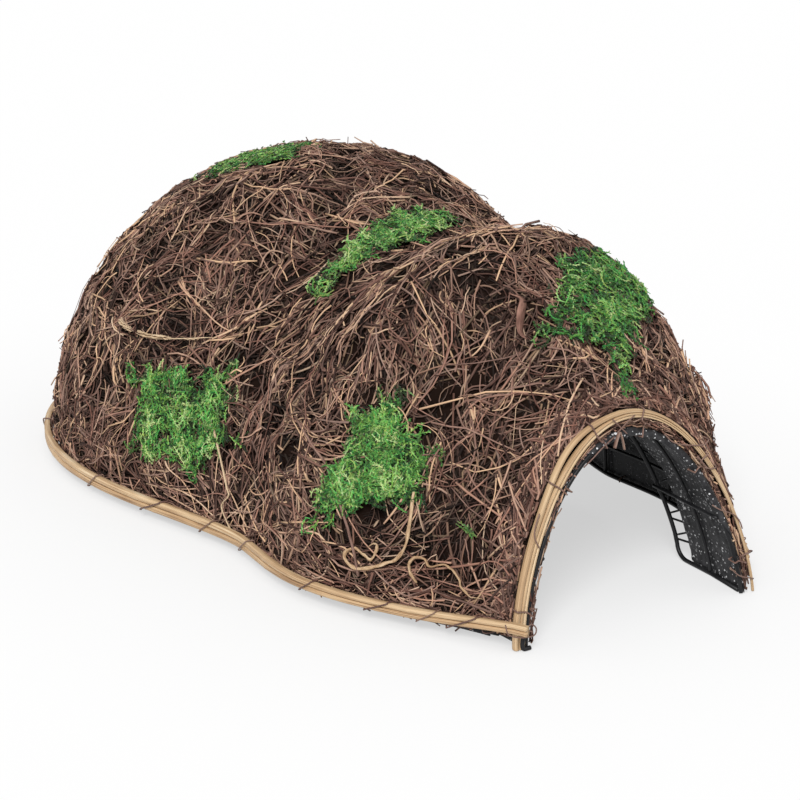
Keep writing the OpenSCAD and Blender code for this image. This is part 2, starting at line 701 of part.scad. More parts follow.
module rim_ties() {
    turn_slant = tie_slant / rear_half_w * 180 / PI;
    color("sienna") {
        for (side = [0, 1])
            mirror([side, 0, 0])
                for (s = tie_stations)
                    wire([for (p = tie_route) tie_left(p, s + p[4] * tie_slant)], tie_d, [0, 1, 0]);
        for (turn = tie_turns)
            wire([for (p = tie_route) tie_rear(p, turn - p[4] * turn_slant)],
                tie_d, [sin(turn), -cos(turn), 0]);
    }
}

// An arch tie goes once round the cane bundle and the entrance hoop and leaves two tails in front.
function arch_tie_place(turn, depth, s, along) =
    arch_place(turn, arch_half_w, door_h, door_full, arch_foot, -depth, s, along);
function hoop_depth(turn) =
    let(p = arch_xz(turn, arch_half_w, door_h, door_full, arch_foot),
        run = arch_run(turn, arch_half_w, door_h, door_full, arch_foot))
    min([for (c = [0:2:180]) let(v = p - arch_xz(c, tunnel_half_w, tunnel_h, tunnel_full, 0))
        if (abs(v * run) < 6) v * [run[1], -run[0]]]);

module arch_tie(turn) {
    inner = hoop_depth(turn) + tunnel_d / 2 + tie_out + fit;
    spring = cane_spring * bump(turn, spring_at, spring_spread);
    front = -tie_out;
    back = arch_cane_d + tie_out;
    path = [
        arch_tie_place(turn, arch_bundle, front - tie_tail, -tie_d),
        arch_tie_place(turn, arch_bundle + tie_d, front, -tie_d),
        arch_tie_place(turn, inner - tie_d / 2, front, -tie_d),
        arch_tie_place(turn, inner, front + tie_d / 2, -tie_d),
        arch_tie_place(turn, inner, back - tie_d / 2, -tie_d / 2),
        arch_tie_place(turn, inner - tie_d / 2, back, -tie_d / 3),
        arch_tie_place(turn, -spring, back, tie_d / 3),
        arch_tie_place(turn, -spring - tie_out, back - tie_d / 2, tie_d / 2),
        arch_tie_place(turn, -spring - tie_out, front + tie_d / 2, tie_d),
        arch_tie_place(turn, -spring, front, tie_d),
        arch_tie_place(turn, arch_bundle - tie_d, front, tie_d),
        arch_tie_place(turn, arch_bundle, front - tie_tail, 2 * tie_d)
    ];
    run = arch_run(turn, arch_half_w, door_h, door_full, arch_foot);
    wire(path, tie_d, [run[0], 0, run[1]]);
}

module arch_ties() {
    color("sienna")
        for (turn = arch_tie_turns)
            arch_tie(turn);
}

// Moss and stray wood on the brushwood's skin

// A place over the skin: station, turn and height above it.
function over_skin(s, turn, above) = skin_point(s, turn, deeper(thatch_out, -above));

// A cushion of moss round a middle [station, turn], with reaches [stations, turns] and a ragged outline.
moss_sides = 16;
function ragged(c, seed) = 1 + 0.16 * sin(3 * c + seed) + 0.1 * sin(5 * c - 2 * seed);
function moss_ring(middle, reach, tilt, seed, part, above) =
    [for (k = [0:moss_sides - 1])
        let(c = 360 * k / moss_sides, r = part * ragged(c, seed))
        let(a = r * cos(c), b = r * sin(c))
        over_skin(middle[0] + reach[0] * (a * cos(tilt) - b * sin(tilt)),
            middle[1] + reach[1] * (a * sin(tilt) + b * cos(tilt)), above)];

module moss(middle, reach, tilt, seed, gap = 2 * fit) {
    parts = [0.3, 0.65, 1];
    under = [for (p = parts) moss_ring(middle, reach, tilt, seed, p, gap)];
    over = [for (p = reversed(parts))
        moss_ring(middle, reach, tilt, seed, p, gap + mix(moss_t, moss_edge_t, p * p))];
    color("forestgreen")
        through_rings(concat(under, over));
}

module moss_rear_side() {
    moss([mark(486), 161], [mark(81), 10], 0, 40);
}

module moss_saddle() {
    moss([mark(422), 97], [mark(19), 23], 0, 110, gap = 5 * fit);
}

module moss_front_top() {
    moss([mark(124), 77], [mark(89), 17], -26, 200, gap = 4 * fit);
}

module moss_front_side() {
    moss([mark(167), 152], [mark(60), 12], 38, 300);
}

module moss_crest() {
    moss([mark(655), 102], [mark(49), 8], 35, 20);
}

module moss_sprig() {
    moss([mark(62), 154], [mark(17), 2.5], 0, 80);
}

// A strand of wood lies on the skin through places [station, turn].
module strand(places, d) {
    path = [for (p = places) over_skin(p[0], p[1], d / 2 + 2 * fit)];
    color("peru")
        wire(path, d, [0.31, 0.17, 0.93]);
}

module curly_root_long() {
    strand([for (f = steps(0, 1, 16))
        [mark(115 + 58 * f * f - 12 * sin(180 * f)), 156 + 15 * sin(115 * f)]], root_d);
}

module curly_root_short() {
    strand([for (f = steps(0, 1, 12)) [mark(101 - 75 * f), 166 + 2 * f - 3 * sin(180 * f)]], root_d);
}

module bark_stick() {
    strand([for (f = steps(0, 1, 6)) [mark(mix(633, 472, f)), 149 - 6 * f + 3 * sin(180 * f)]], stick_d);
}

module pale_stem() {
    strand([for (f = steps(0, 1, 8))
        [mark(mix(406, 367, f) + 6 * sin(180 * f)), mix(166, 174, f)]], stem_d);
}

ground_ring();
belt_wire();
ridge_wire();
front_hoop();
waist_hoop();
neck_hoop();
main_hoop();
rear_rib_left();
rear_rib_right();
entrance_hoop();
tunnel_middle_hoop();
tunnel_inner_hoop();
tunnel_rail_left();
tunnel_rail_right();
tunnel_lacing();
tunnel_liner();
front_liner();
rear_liner();
front_brushwood();
rear_brushwood();
rim_cane_lower();
rim_cane_upper();
arch_cane_outer();
arch_cane_middle();
arch_cane_inner();
rim_ties();
arch_ties();
moss_rear_side();
moss_saddle();
moss_front_top();
moss_front_side();
moss_crest();
moss_sprig();
curly_root_long();
curly_root_short();
bark_stick();
pale_stem();
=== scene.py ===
"""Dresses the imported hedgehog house: brushwood, moss, canes, binding wire, linings and black wire frame.

Lengths are millimetres, measured along the ground from the entrance, until a mesh is written in metres.
"""

import logging
import math
from collections.abc import Callable
from dataclasses import dataclass, field
from enum import Enum

import bpy
import numpy as np
from mathutils import Matrix
from mathutils.bvhtree import BVHTree


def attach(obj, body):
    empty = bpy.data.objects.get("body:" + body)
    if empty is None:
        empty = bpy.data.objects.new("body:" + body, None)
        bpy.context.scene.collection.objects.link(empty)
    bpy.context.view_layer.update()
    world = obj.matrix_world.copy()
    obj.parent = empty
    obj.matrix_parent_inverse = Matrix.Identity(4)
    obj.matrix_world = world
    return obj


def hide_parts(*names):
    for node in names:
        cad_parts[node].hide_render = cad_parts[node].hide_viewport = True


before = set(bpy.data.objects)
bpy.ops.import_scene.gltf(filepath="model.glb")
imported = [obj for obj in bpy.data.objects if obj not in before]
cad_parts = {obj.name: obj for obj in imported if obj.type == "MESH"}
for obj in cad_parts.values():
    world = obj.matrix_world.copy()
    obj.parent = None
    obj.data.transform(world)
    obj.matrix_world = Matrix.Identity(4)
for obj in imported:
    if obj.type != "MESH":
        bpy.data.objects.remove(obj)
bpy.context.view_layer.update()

LOG = logging.getLogger("hedgehog_house")
Array = np.ndarray
Number = float | Array
Colour = tuple[float, float, float]
Stops = tuple[tuple[float, Colour], ...]
Socket = bpy.types.NodeSocket
MILLIMETRE = 0.001
BODY = "root"
BAKE_MAP = "OFBake"


class Slot(Enum):
    """The record's material slots."""

    BLACK_WIRE = "black_wire"
    LINING = "lining"
    BRUSHWOOD = "brushwood"
    CANE = "cane"
    BINDING = "binding_wire"
    MOSS = "moss"
    PALE_WOOD = "pale_wood"


class Side(Enum):
    """The two sides of the house, as the sign of x."""

    LEFT = -1
    RIGHT = 1


class Chamber(Enum):
    """The two chambers, front and rear of the waist."""

    FRONT = "front"
    REAR = "rear"


class Value(Enum):
    """Values that a mesh carries at its points for the finishes to read."""

    ALONG = "along"
    AROUND = "around"
    TONE = "tone"
    # How deep a strand lies, from 0 to 1; the finishes darken the colour by it as painted shade.
    DEPTH = "depth"


def unit(v: Array) -> Array:
    """Vectors of length 1."""
    return v / np.maximum(np.linalg.norm(v, axis=-1, keepdims=True), 1e-9)


def mix(a: Number, b: Number, f: Number) -> Number:
    """The share f of the way from a to b."""
    return a + (b - a) * f


def steps(points: Array, axis: int = 0) -> Array:
    """Distances between neighbouring points along an axis of a grid."""
    return np.linalg.norm(np.diff(points, axis=axis), axis=-1)


def along_line(line: Array, at: Array) -> Array:
    """Points of a line at places counted in its points."""
    return np.stack([np.interp(at, np.arange(len(line)), line[:, i]) for i in range(3)], -1)


def smooth_path(points: Array, per: int = 6) -> Array:
    """Rounds a path through its points.

    Args:
        points: The points, one row each.
        per: Steps between two points.

    Returns:
        The finer path, through the same points.
    """
    p = np.vstack([2 * points[0] - points[1], points, 2 * points[-1] - points[-2]])
    f = np.linspace(0, 1, per, endpoint=False)[:, None]
    rows = []
    for a, b, c, d in zip(p[:-3], p[1:-2], p[2:-1], p[3:]):
        rows.append(b + 0.5 * f * (c - a + f * (2 * a - 5 * b + 4 * c - d + f * (3 * (b - c) + d - a))))
    return np.vstack(rows + [points[-1:]])


def wander(rng: np.random.Generator, count: int, knots: int) -> Array:
    """A smooth random line from -1 to 1.

    Args:
        rng: Source of the random draws.
        count: Number of values.
        knots: Number of turning points.

    Returns:
        The values.
    """
    at = np.linspace(0, knots - 1, count)
    low = np.minimum(at.astype(int), knots - 2)
    f = at - low
    f = f * f * (3 - 2 * f)
    level = rng.uniform(-1, 1, knots)
    return mix(level[low], level[low + 1], f)


@dataclass(frozen=True)
class ArchSize:
    """An arch in its own leaning plane."""

    half_w: float
    height: float
    full: float
    low: float = 0.0

    def flat(self, turn: Array) -> Array:
        """Points across and up, for turns in degrees from the right foot.

        Args:
            turn: Turns in degrees from the right foot.

        Returns:
            Points across and up.
        """
        t = np.radians(turn)
        rise = np.clip(np.sin(t), 0, 1) ** (2 / self.full)
        return np.stack([self.half_w * np.cos(t), self.low + (self.height - self.low) * rise], -1)


@dataclass(frozen=True)
class HouseForm:
    """Form of the house: plan of the rim, ridge line, sections and the layers under the skin."""

    length: float = 695.0
    door_half_w: float = 108.0
    front_half_w: float = 185.0
    front_at: float = 186.0
    waist_half_w: float = 181.0
    waist_at: float = 250.0
    rear_half_w: float = 218.0
    rear_at: float = 458.0
    pinch: float = 1.5
    door_flare: float = 1.25
    door_h: float = 149.0
    front_top: float = 252.1
    front_top_at: float = 170.0
    saddle_top: float = 215.1
    saddle_at: float = 256.0
    rear_top: float = 262.1
    rear_top_at: float = 413.0
    door_full: float = 1.55
    front_full: float = 1.9
    rear_full: float = 2.0
    lean: float = 7.5
    thatch_at: float = 7.1
    thatch_low: float = 9.0
    collar_len: float = 80.0
    rim_lift: float = 5.0
    mat_gap: float = 0.6
    origin_y: float = 343.25
    hollow_part: float = 0.5
    hollow_pitch: float = 60.0
    hollow_turns: float = 20.0
    hollow_steep: float = 1.5
    hollow_rim: float = 9.0
    row_slant: float = 70.0
    column_slant: float = 180.0
    waver: float = 45.0
    rim_middle: float = 12.95
    rim_slim: float = 0.76
    rim_slim_to: float = 150.0
    rim_full_at: float = 270.0
    cane_thin: float = 0.22
    cane_thin_to: float = 15.0
    cane_full_at: float = 155.0
    rim_face: tuple[float, float, float] = (0.0, 0.0, 0.0)
    thatch_out: tuple[float, float, float] = (7.1, 3.0, 7.1)
    thatch_in: tuple[float, float, float] = (12.0, 12.6, 21.1)
    liner_out: tuple[float, float, float] = (12.3, 12.9, 21.4)
    liner_in: tuple[float, float, float] = (13.8, 14.4, 22.9)
    hoop_layer: tuple[float, float, float] = (15.8, 16.4, 24.9)
    rail_layer: tuple[float, float, float] = (19.0, 19.6, 28.1)
    ring_layer: tuple[float, float, float] = (11.85, 0.0, 24.9)
    fit: float = 0.3
    ring_d: float = 3.5
    ring_lift: float = 1.2
    rim_low: float = 8.0
    rim_top: float = 17.9
    cane_t: float = 5.0
    door_arch: ArchSize = ArchSize(102.7, 149.0, 1.55, 1.0)
    door_hoop: ArchSize = ArchSize(92.6, 133.0, 1.5)
    door_wire_d: float = 3.2
    arch_depth: float = 5.0
    arch_bundle: float = 8.2
    spring: float = 4.0
    spring_at: float = 117.0
    spring_spread: float = 14.0

    @property
    def slope(self) -> float:
        """Backward lean of the entrance, per unit of height."""
        return math.tan(math.radians(self.lean))

    def to_frame(self, points: Array) -> Array:
        """Points in the row frame, in metres."""
        return (points - np.array([0.0, self.origin_y, 0.0])) * MILLIMETRE

    @staticmethod
    def rise(f: Number, power: float) -> Array:
        """A rise from 0 to 1 that arrives level."""
        return np.sin(np.pi / 2 * np.clip(f, 0, 1)) ** power

    def swell(self, s: Array, sizes: tuple, stations: tuple, power: float) -> Array:
        """A measure that swells to the front chamber, draws in at the waist and swells again.

        Args:
            s: Stations.
            sizes: The measure at the door, front, waist and rear.
            stations: Stations of the front, waist and rear.
            power: How the measure leaves the door.

        Returns:
            The measure at each station.
        """
        door, front, waist, rear = sizes
        front_s, waist_s, rear_s = stations
        to_front = door + (front - door) * self.rise(s / front_s, power)
        to_waist = waist + (front - waist) * self.rise((waist_s - s) / (waist_s - front_s), self.pinch)
        to_rear = waist + (rear - waist) * self.rise((s - waist_s) / (rear_s - waist_s), self.pinch)
        return np.where(s <= front_s, to_front, np.where(s <= waist_s, to_waist, to_rear))

    def depth(self, s: Array, layer: Array, at_door: int) -> Array:
        """A layer's depth under the rim's outer face."""
        return mix(layer[at_door], layer[2], self.rise(s / self.collar_len, 1))

    def half_w(self, s: Array, layer: Array) -> Array:
        """Half-width of a layer at the rim.

        Args:
            s: Stations.
            layer: Depths of the layer.

        Returns:
            The half-widths.
        """
        sizes = (self.door_half_w, self.front_half_w, self.waist_half_w, self.rear_half_w)
        stations = (self.front_at, self.waist_at, self.rear_at)
        return self.swell(s, sizes, stations, self.door_flare) - self.depth(s, layer, 0)

    def ridge_h(self, s: Array, layer: Array) -> Array:
        """Height of a layer's ridge.

        Args:
            s: Stations.
            layer: Depths of the layer.

        Returns:
            The heights.
        """
        sizes = (self.door_h, self.front_top, self.saddle_top, self.rear_top)
        stations = (self.front_top_at, self.saddle_at, self.rear_top_at)
        before = self.swell(s, sizes, stations, 1.0) - self.depth(s, layer, 1)
        f = np.clip((s - self.rear_top_at) / (self.length - layer[2] - self.rear_top_at), 0, 1)
        return np.where(s > self.rear_top_at, (self.rear_top - layer[2]) * np.sqrt(1 - f * f), before)

    def fullness(self, s: Array) -> Array:
        """Fullness of the section at each station."""
        marks = [0, self.front_at, self.rear_at]
        return np.interp(s, marks, [self.door_full, self.front_full, self.rear_full])

    def section(self, s: Number, turn: Number, layer: Array, low: float) -> Array:
        """Points of upright sections.

        Args:
            s: Stations.
            turn: Turns in degrees, 0 at the right foot and 90 at the ridge.
            layer: Depths of the layer.
            low: Height of the feet.

        Returns:
            The points.
        """
        s, t = np.broadcast_arrays(np.asarray(s, float), np.radians(np.asarray(turn, float)))
        z = low + (self.ridge_h(s, layer) - low) * np.clip(np.sin(t), 0, 1) ** (2 / self.fullness(s))
        fade = np.clip((self.front_at - s) / (self.front_at - self.thatch_at), 0, 1)
        return np.stack([self.half_w(s, layer) * np.cos(t), s + z * self.slope * fade, z], -1)

    def reach(self, tip: Array, layer: Array, low: float) -> Array:
        """Length of a slice of the rear from its foot line to the ridge.

        Args:
            tip: Angles that the slices tip backwards, in radians.
            layer: Depths of the layer.
            low: Height of the foot line.

        Returns:
            The lengths.
        """
        a = self.length - layer[2] - self.rear_top_at
        h = self.rear_top - layer[2]
        off = self.rear_at - self.rear_top_at
        qa = (np.sin(tip) / a) ** 2 + (np.cos(tip) / h) ** 2
        qb = off * np.sin(tip) / a**2 + low * np.cos(tip) / h**2
        qc = (off / a) ** 2 + (low / h) ** 2 - 1
        return (np.sqrt(qb * qb - qa * qc) - qb) / qa

    def slice_point(self, tip: Number, turn: Number, layer: Array, low: float) -> Array:
        """Points of the slices behind the widest station.

        Args:
            tip: Angles that the slices tip backwards, in degrees.
            turn: Turns in degrees.
            layer: Depths of the layer.
            low: Height of the foot line.

        Returns:
            The points.
        """
        tip, t = np.broadcast_arrays(np.radians(np.asarray(tip, float)), np.radians(np.asarray(turn, float)))
        r = self.reach(tip, layer, low) * np.clip(np.sin(t), 0, 1) ** (2 / self.rear_full)
        x = (self.rear_half_w - layer[2]) * np.cos(t)
        return np.stack([x, self.rear_at + r * np.sin(tip), low + r * np.cos(tip)], -1)

    def skin(self, s: Number, turn: Number, layer: Array, low: float) -> Array:
        """Points of a whole layer, whose stations past the widest one tip backwards.

        Args:
            s: Stations.
            turn: Turns in degrees.
            layer: Depths of the layer.
            low: Height of the layer's lower edge.

        Returns:
            The points.
        """
        s, turn = np.broadcast_arrays(np.asarray(s, float), np.asarray(turn, float))
        tip = 90 * np.clip((s - self.rear_at) / (self.length - self.rear_at), 0, 1)
        before = self.section(np.minimum(s, self.rear_at), turn, layer, low)
        return np.where((s <= self.rear_at)[..., None], before, self.slice_point(tip, turn, layer, low))

    def over_skin(self, s: Number, turn: Number, above: float = 0.0) -> Array:
        """Points at a height over the brushwood."""
        return self.skin(s, turn, np.array(self.thatch_out) - above, self.thatch_low)

    def hollow(self, s: Array, turn: Array) -> Array:
        """Share of the brushwood's thickness that is missing in the hollows between its bundles.

        Args:
            s: Stations.
            turn: Turns in degrees.

        Returns:
            The shares.
        """
        row = 360 * (s / self.hollow_pitch + turn / self.row_slant)
        row = row + self.waver * np.sin(np.radians(5 * turn))
        column = 360 * (turn / self.hollow_turns - s / self.column_slant)
        column = column + self.waver * np.sin(np.radians(2 * s))
        wave = np.sin(np.radians(row)) * np.sin(np.radians(column))
        above_rim = (np.minimum(turn, 180 - turn) - self.hollow_rim) / self.hollow_rim
        behind = 2 * (s - self.thatch_at) / self.collar_len
        part = self.hollow_part * np.clip(self.hollow_steep * wave, 0, 1)
        return part * np.clip(above_rim, 0, 1) * np.clip(behind, 0, 1)

    def thatch_face(self, s: Number, turn: Number) -> Array:
        """Points of the brushwood's outer face, with its hollows.

        Args:
            s: Stations.
            turn: Turns.

        Returns:
            The points.
        """
        s, turn = np.broadcast_arrays(np.asarray(s, float), np.asarray(turn, float))
        inner = self.skin(s, turn, self.thatch_in, self.thatch_low)
        return mix(self.over_skin(s, turn, 0.0), inner, self.hollow(s, turn)[..., None])

    def skin_path(self, places: tuple, above: float, per: int) -> Array:
        """A smooth path over the brushwood through stations and turns."""
        return smooth_path(self.over_skin(*np.array(places, float).T, above), per)

    def entrance_path(self, places: tuple, s: float) -> Array:
        """A smooth path on the entrance's leaning plane, through places across and up."""
        across, z = np.array(places, float).T
        return smooth_path(np.stack([across, s + z * self.slope, z], -1))

    def rear_stations(self, first: float, before: int, slices: int) -> Array:
        """Stations from a first one to the rear end, with their own step behind the widest one."""
        side = np.linspace(first, self.rear_at, before)
        return np.concatenate([side, np.linspace(self.rear_at, self.length, slices)[1:]])

    def stations(self, chamber: Chamber, first: float, counts: tuple[int, int, int]) -> Array:
        """Stations of one chamber.

        Args:
            chamber: The chamber.
            first: First station of the front chamber.
            counts: Stations of the front chamber, of the rear one and of its slices.

        Returns:
            The stations.
        """
        if chamber is Chamber.FRONT:
            return np.linspace(first, self.waist_at - self.mat_gap / 2, counts[0])
        return self.rear_stations(self.waist_at + self.mat_gap / 2, *counts[1:])

    def plan_side(self, s: Array, layer: Array, z: Number) -> Array:
        """Points of the left side of a layer's plan."""
        return np.stack(np.broadcast_arrays(-self.half_w(s, layer), s, np.asarray(z, float)), -1)

    def plan_rear(self, turn: Array, layer: Array, z: Number) -> Array:
        """Points of the rear of a layer's plan.

        Args:
            turn: Turns in degrees.
            layer: Depths of the layer.
            z: Heights.

        Returns:
            The points.
        """
        t = np.radians(turn)
        y = self.rear_at + (self.length - layer[2] - self.rear_at) * np.sin(t) ** (2 / self.rear_full)
        x = (self.rear_half_w - layer[2]) * np.cos(t)
        return np.stack(np.broadcast_arrays(x, y, np.asarray(z, float)), -1)

    def plan_path(self, from_s: float, layer: Array, z: float, steps: int = 120) -> Array:
        """A layer's plan from the front left round the rear to the front right.

        Args:
            from_s: Station where it starts and ends.
            layer: Depths of the layer.
            z: Height of the path.
            steps: Steps of each of its three stretches.

        Returns:
            The path.
        """
        left = self.plan_side(np.linspace(from_s, self.rear_at, steps), layer, z)
        rear = self.plan_rear(np.linspace(180, 0, steps)[1:-1], layer, z)
        return np.vstack([left, rear, left[::-1] * [-1, 1, 1]])

    def rim_z(self, z: Array, s: Array) -> Array:
        """Heights on the rim, which is drawn together towards the front."""
        f = (s - self.rim_slim_to) / (self.rim_full_at - self.rim_slim_to)
        return self.rim_middle + (z - self.rim_middle) * mix(self.rim_slim, 1.0, self.rise(f, 1))

    def cane_share(self, turn: Array) -> Array:
        """Thickness of the arch canes against the full one, from the thin right foot to the left side."""
        f = (turn - self.cane_thin_to) / (self.cane_full_at - self.cane_thin_to)
        return mix(self.cane_thin, 1.0, self.rise(f, 1.5))

    def sprung(self, turn: Number) -> Number:
        """How far the outer arch cane springs away from the others."""
        return self.spring * np.exp(-(((turn - self.spring_at) / self.spring_spread) ** 2))

    def lift_at(self, s: Array) -> Array:
        """How far the rim is lifted near the entrance."""
        return self.rim_lift * (1 - self.rise(s / self.collar_len, 1))

    def arch(self, turn: Number, size: ArchSize, out: Number, s: Number, along: Number = 0.0) -> Array:
        """Points round a leaning arch.

        Args:
            turn: Turns in degrees from the right foot.
            size: The arch.
            out: Distances outward from it.
            s: Stations of the arch's foot.
            along: Distances further along it.

        Returns:
            The points.
        """
        turn = np.asarray(turn, float)
        run = unit(size.flat(np.minimum(180, turn + 0.5)) - size.flat(np.maximum(0, turn - 0.5)))
        normal = np.stack([run[..., 1], -run[..., 0]], -1)
        q = size.flat(turn) + normal * np.asarray(out)[..., None] + run * np.asarray(along)[..., None]
        return np.stack([q[..., 0], s + q[..., 1] * self.slope, q[..., 1]], -1)


FORM = HouseForm()


@dataclass
class Solid:
    """A mesh in the making: points, faces, the bake map's corners and the values at the points."""

    name: str
    points: list[Array] = field(default_factory=list)
    faces: list[Array] = field(default_factory=list)
    corners: list[Array] = field(default_factory=list)
    values: dict[Value, list[Array]] = field(default_factory=lambda: {v: [] for v in Value})
    count: int = 0

    def add(
        self, points: Array, faces: list[Array], corners: list[Array], values: dict[Value, Array]
    ) -> None:
        """Adds a stretch of mesh.

        Args:
            points: Points in millimetres.
            faces: Arrays of faces, each with one number of sides.
            corners: The bake map's place of each face's corners.
            values: Values at the points.
        """
        self.points.append(points)
        self.faces += [f + self.count for f in faces]
        self.corners += corners
        for v in Value:
            self.values[v].append(values[v])
        self.count += len(points)

    def build(self, material: bpy.types.Material, slot: Slot, *nodes: str) -> bpy.types.Object:
        """Writes the mesh, dresses it and lets it ride on the house.

        Args:
            material: Its finish.
            slot: The record's slot of that finish; not used.
            nodes: CAD nodes that it stands for.

        Returns:
            The piece.
        """
        mesh = bpy.data.meshes.new(self.name)
        points = FORM.to_frame(np.vstack(self.points))
        loops = np.concatenate([f.ravel() for f in self.faces])
        sides = np.concatenate([np.full(len(f), f.shape[1]) for f in self.faces])
        mesh.vertices.add(len(points))
        mesh.vertices.foreach_set("co", points.ravel())
        mesh.loops.add(len(loops))
        mesh.loops.foreach_set("vertex_index", loops.astype(np.int32))
        mesh.polygons.add(len(sides))
        mesh.polygons.foreach_set("loop_start", np.concatenate([[0], np.cumsum(sides)[:-1]]).astype(np.int32))
        mesh.polygons.foreach_set("use_smooth", np.ones(len(sides), bool))
        for v in Value:
            attribute = mesh.attributes.new(v.value, "FLOAT", "POINT")
            attribute.data.foreach_set("value", np.concatenate(self.values[v]))
        places = np.concatenate([c.reshape(-1, 2) for c in self.corners])
        mesh.uv_layers.new(name=BAKE_MAP).data.foreach_set("uv", places.ravel())
        mesh.update(calc_edges=True)
        mesh.validate()
        mesh.materials.append(material)
        piece = bpy.data.objects.new(self.name, mesh)
        bpy.context.scene.collection.objects.link(piece)
        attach(piece, BODY)
        if nodes:
            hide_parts(*nodes)
        LOG.info("%s: %d faces", self.name, len(sides))
        return piece


def carried_axes(paths: Array) -> tuple[Array, Array]:
    """Axes square to paths, carried along them without twist.

    Args:
        paths: Paths of equal numbers of points.

    Returns:
        Two axes at each point.
    """
    runs = unit(np.gradient(paths, axis=1))
    steep = np.abs(runs[:, 0, 2:3]) > 0.9
    axis = np.where(steep, np.array([1.0, 0, 0]), np.array([0, 0, 1.0]))
    axes = []
    for i in range(paths.shape[1]):
        run = runs[:, i]
        axis = unit(axis - run * np.sum(axis * run, -1, keepdims=True))
        axes.append(axis)
    first = np.stack(axes, 1)
    return first, np.cross(runs, first)


@dataclass
class Strands:
    """Round or flattened strands that become one mesh, each with its own cell of the bake map."""

    name: str
    sides: int = 4
    lots: list[tuple] = field(default_factory=list)

    def add(
        self, paths: Array, radii: Array, tones: Number, depths: Number = 0.0, flat: Number = 1.0
    ) -> None:
        """Adds strands.

        Args:
            paths: Paths of equal numbers of points.
            radii: Radius at each point of each path.
            tones: How light each strand is, from 0 to 1.
            depths: How deep each strand lies, from 0 to 1; the finish darkens deeper strands as painted
                shade.
            flat: Thickness of each strand's section against its width.
        """
        n = len(paths)
        spread = [np.broadcast_to(np.asarray(v, float), (n,)) for v in (tones, depths, flat)]
        self.lots.append((paths, np.broadcast_to(radii, paths.shape[:2]), *spread))

    def one(self, path: Array, radius: Number, tone: float = 0.5, flat: float = 1.0) -> None:
        """Adds one strand."""
        self.add(path[None], np.broadcast_to(radius, (1, len(path))), tone, 0.0, flat)

    def solid(self) -> Solid:
        """The strands' mesh.

        Returns:
            The mesh in the making.
        """
        made = Solid(self.name)
        total = sum(len(lot[0]) for lot in self.lots)
        across = math.ceil(math.sqrt(total))
        m = self.sides
        angle = 2 * np.pi * (np.arange(m) + 0.5) / m
        first = 0
        for paths, radii, tones, depths, flat in self.lots:
            n, k = radii.shape
            a, b = carried_axes(paths)
            ring = a[:, :, None] * np.cos(angle)[:, None] * flat[:, None, None, None]
            ring = ring + b[:, :, None] * np.sin(angle)[:, None]
            points = paths[:, :, None] + ring * radii[:, :, None, None]
            ids = np.arange(n * k * m).reshape(n, k, m)
            after = np.roll(ids, -1, 2)
            quads = np.stack([ids[:, :-1], after[:, :-1], after[:, 1:], ids[:, 1:]], -1).reshape(-1, 4)
            cell = np.arange(first, first + n)
            origin = np.stack([cell % across, cell // across], -1) / across
            u = np.linspace(0.04, 0.96, m + 1)
            v = np.linspace(0.16, 0.96, k)
            uu, vv = np.meshgrid(u, v)
            grid = np.stack([uu, vv], -1)
            quad_uv = np.stack([grid[:-1, :-1], grid[:-1, 1:], grid[1:, 1:], grid[1:, :-1]], -2)
            quad_uv = origin[:, None, None, None] + quad_uv[None] / across
            cap = np.stack([np.cos(angle) * 0.2, np.sin(angle) * 0.05], -1)
            caps_uv = [origin[:, None] + (cap + [u, 0.07]) / across for u in (0.25, 0.75)]
            step = np.linalg.norm(np.diff(paths, axis=1), axis=-1)
            along = np.concatenate([np.zeros((n, 1)), np.cumsum(step, 1)], 1)
            values = {
                Value.ALONG: np.repeat(along[:, :, None], m, 2).ravel(),
                Value.AROUND: np.broadcast_to(np.arange(m) / m, (n, k, m)).ravel(),
                Value.TONE: np.repeat(tones, k * m),
                Value.DEPTH: np.repeat(depths, k * m),
            }
            made.add(points.reshape(-1, 3), [quads, ids[:, 0, ::-1], ids[:, -1]], [quad_uv, *caps_uv], values)
            first += n
        return made

    def build(self, material: bpy.types.Material, slot: Slot, *nodes: str) -> bpy.types.Object:
        """Writes the strands as one piece."""
        return self.solid().build(material, slot, *nodes)


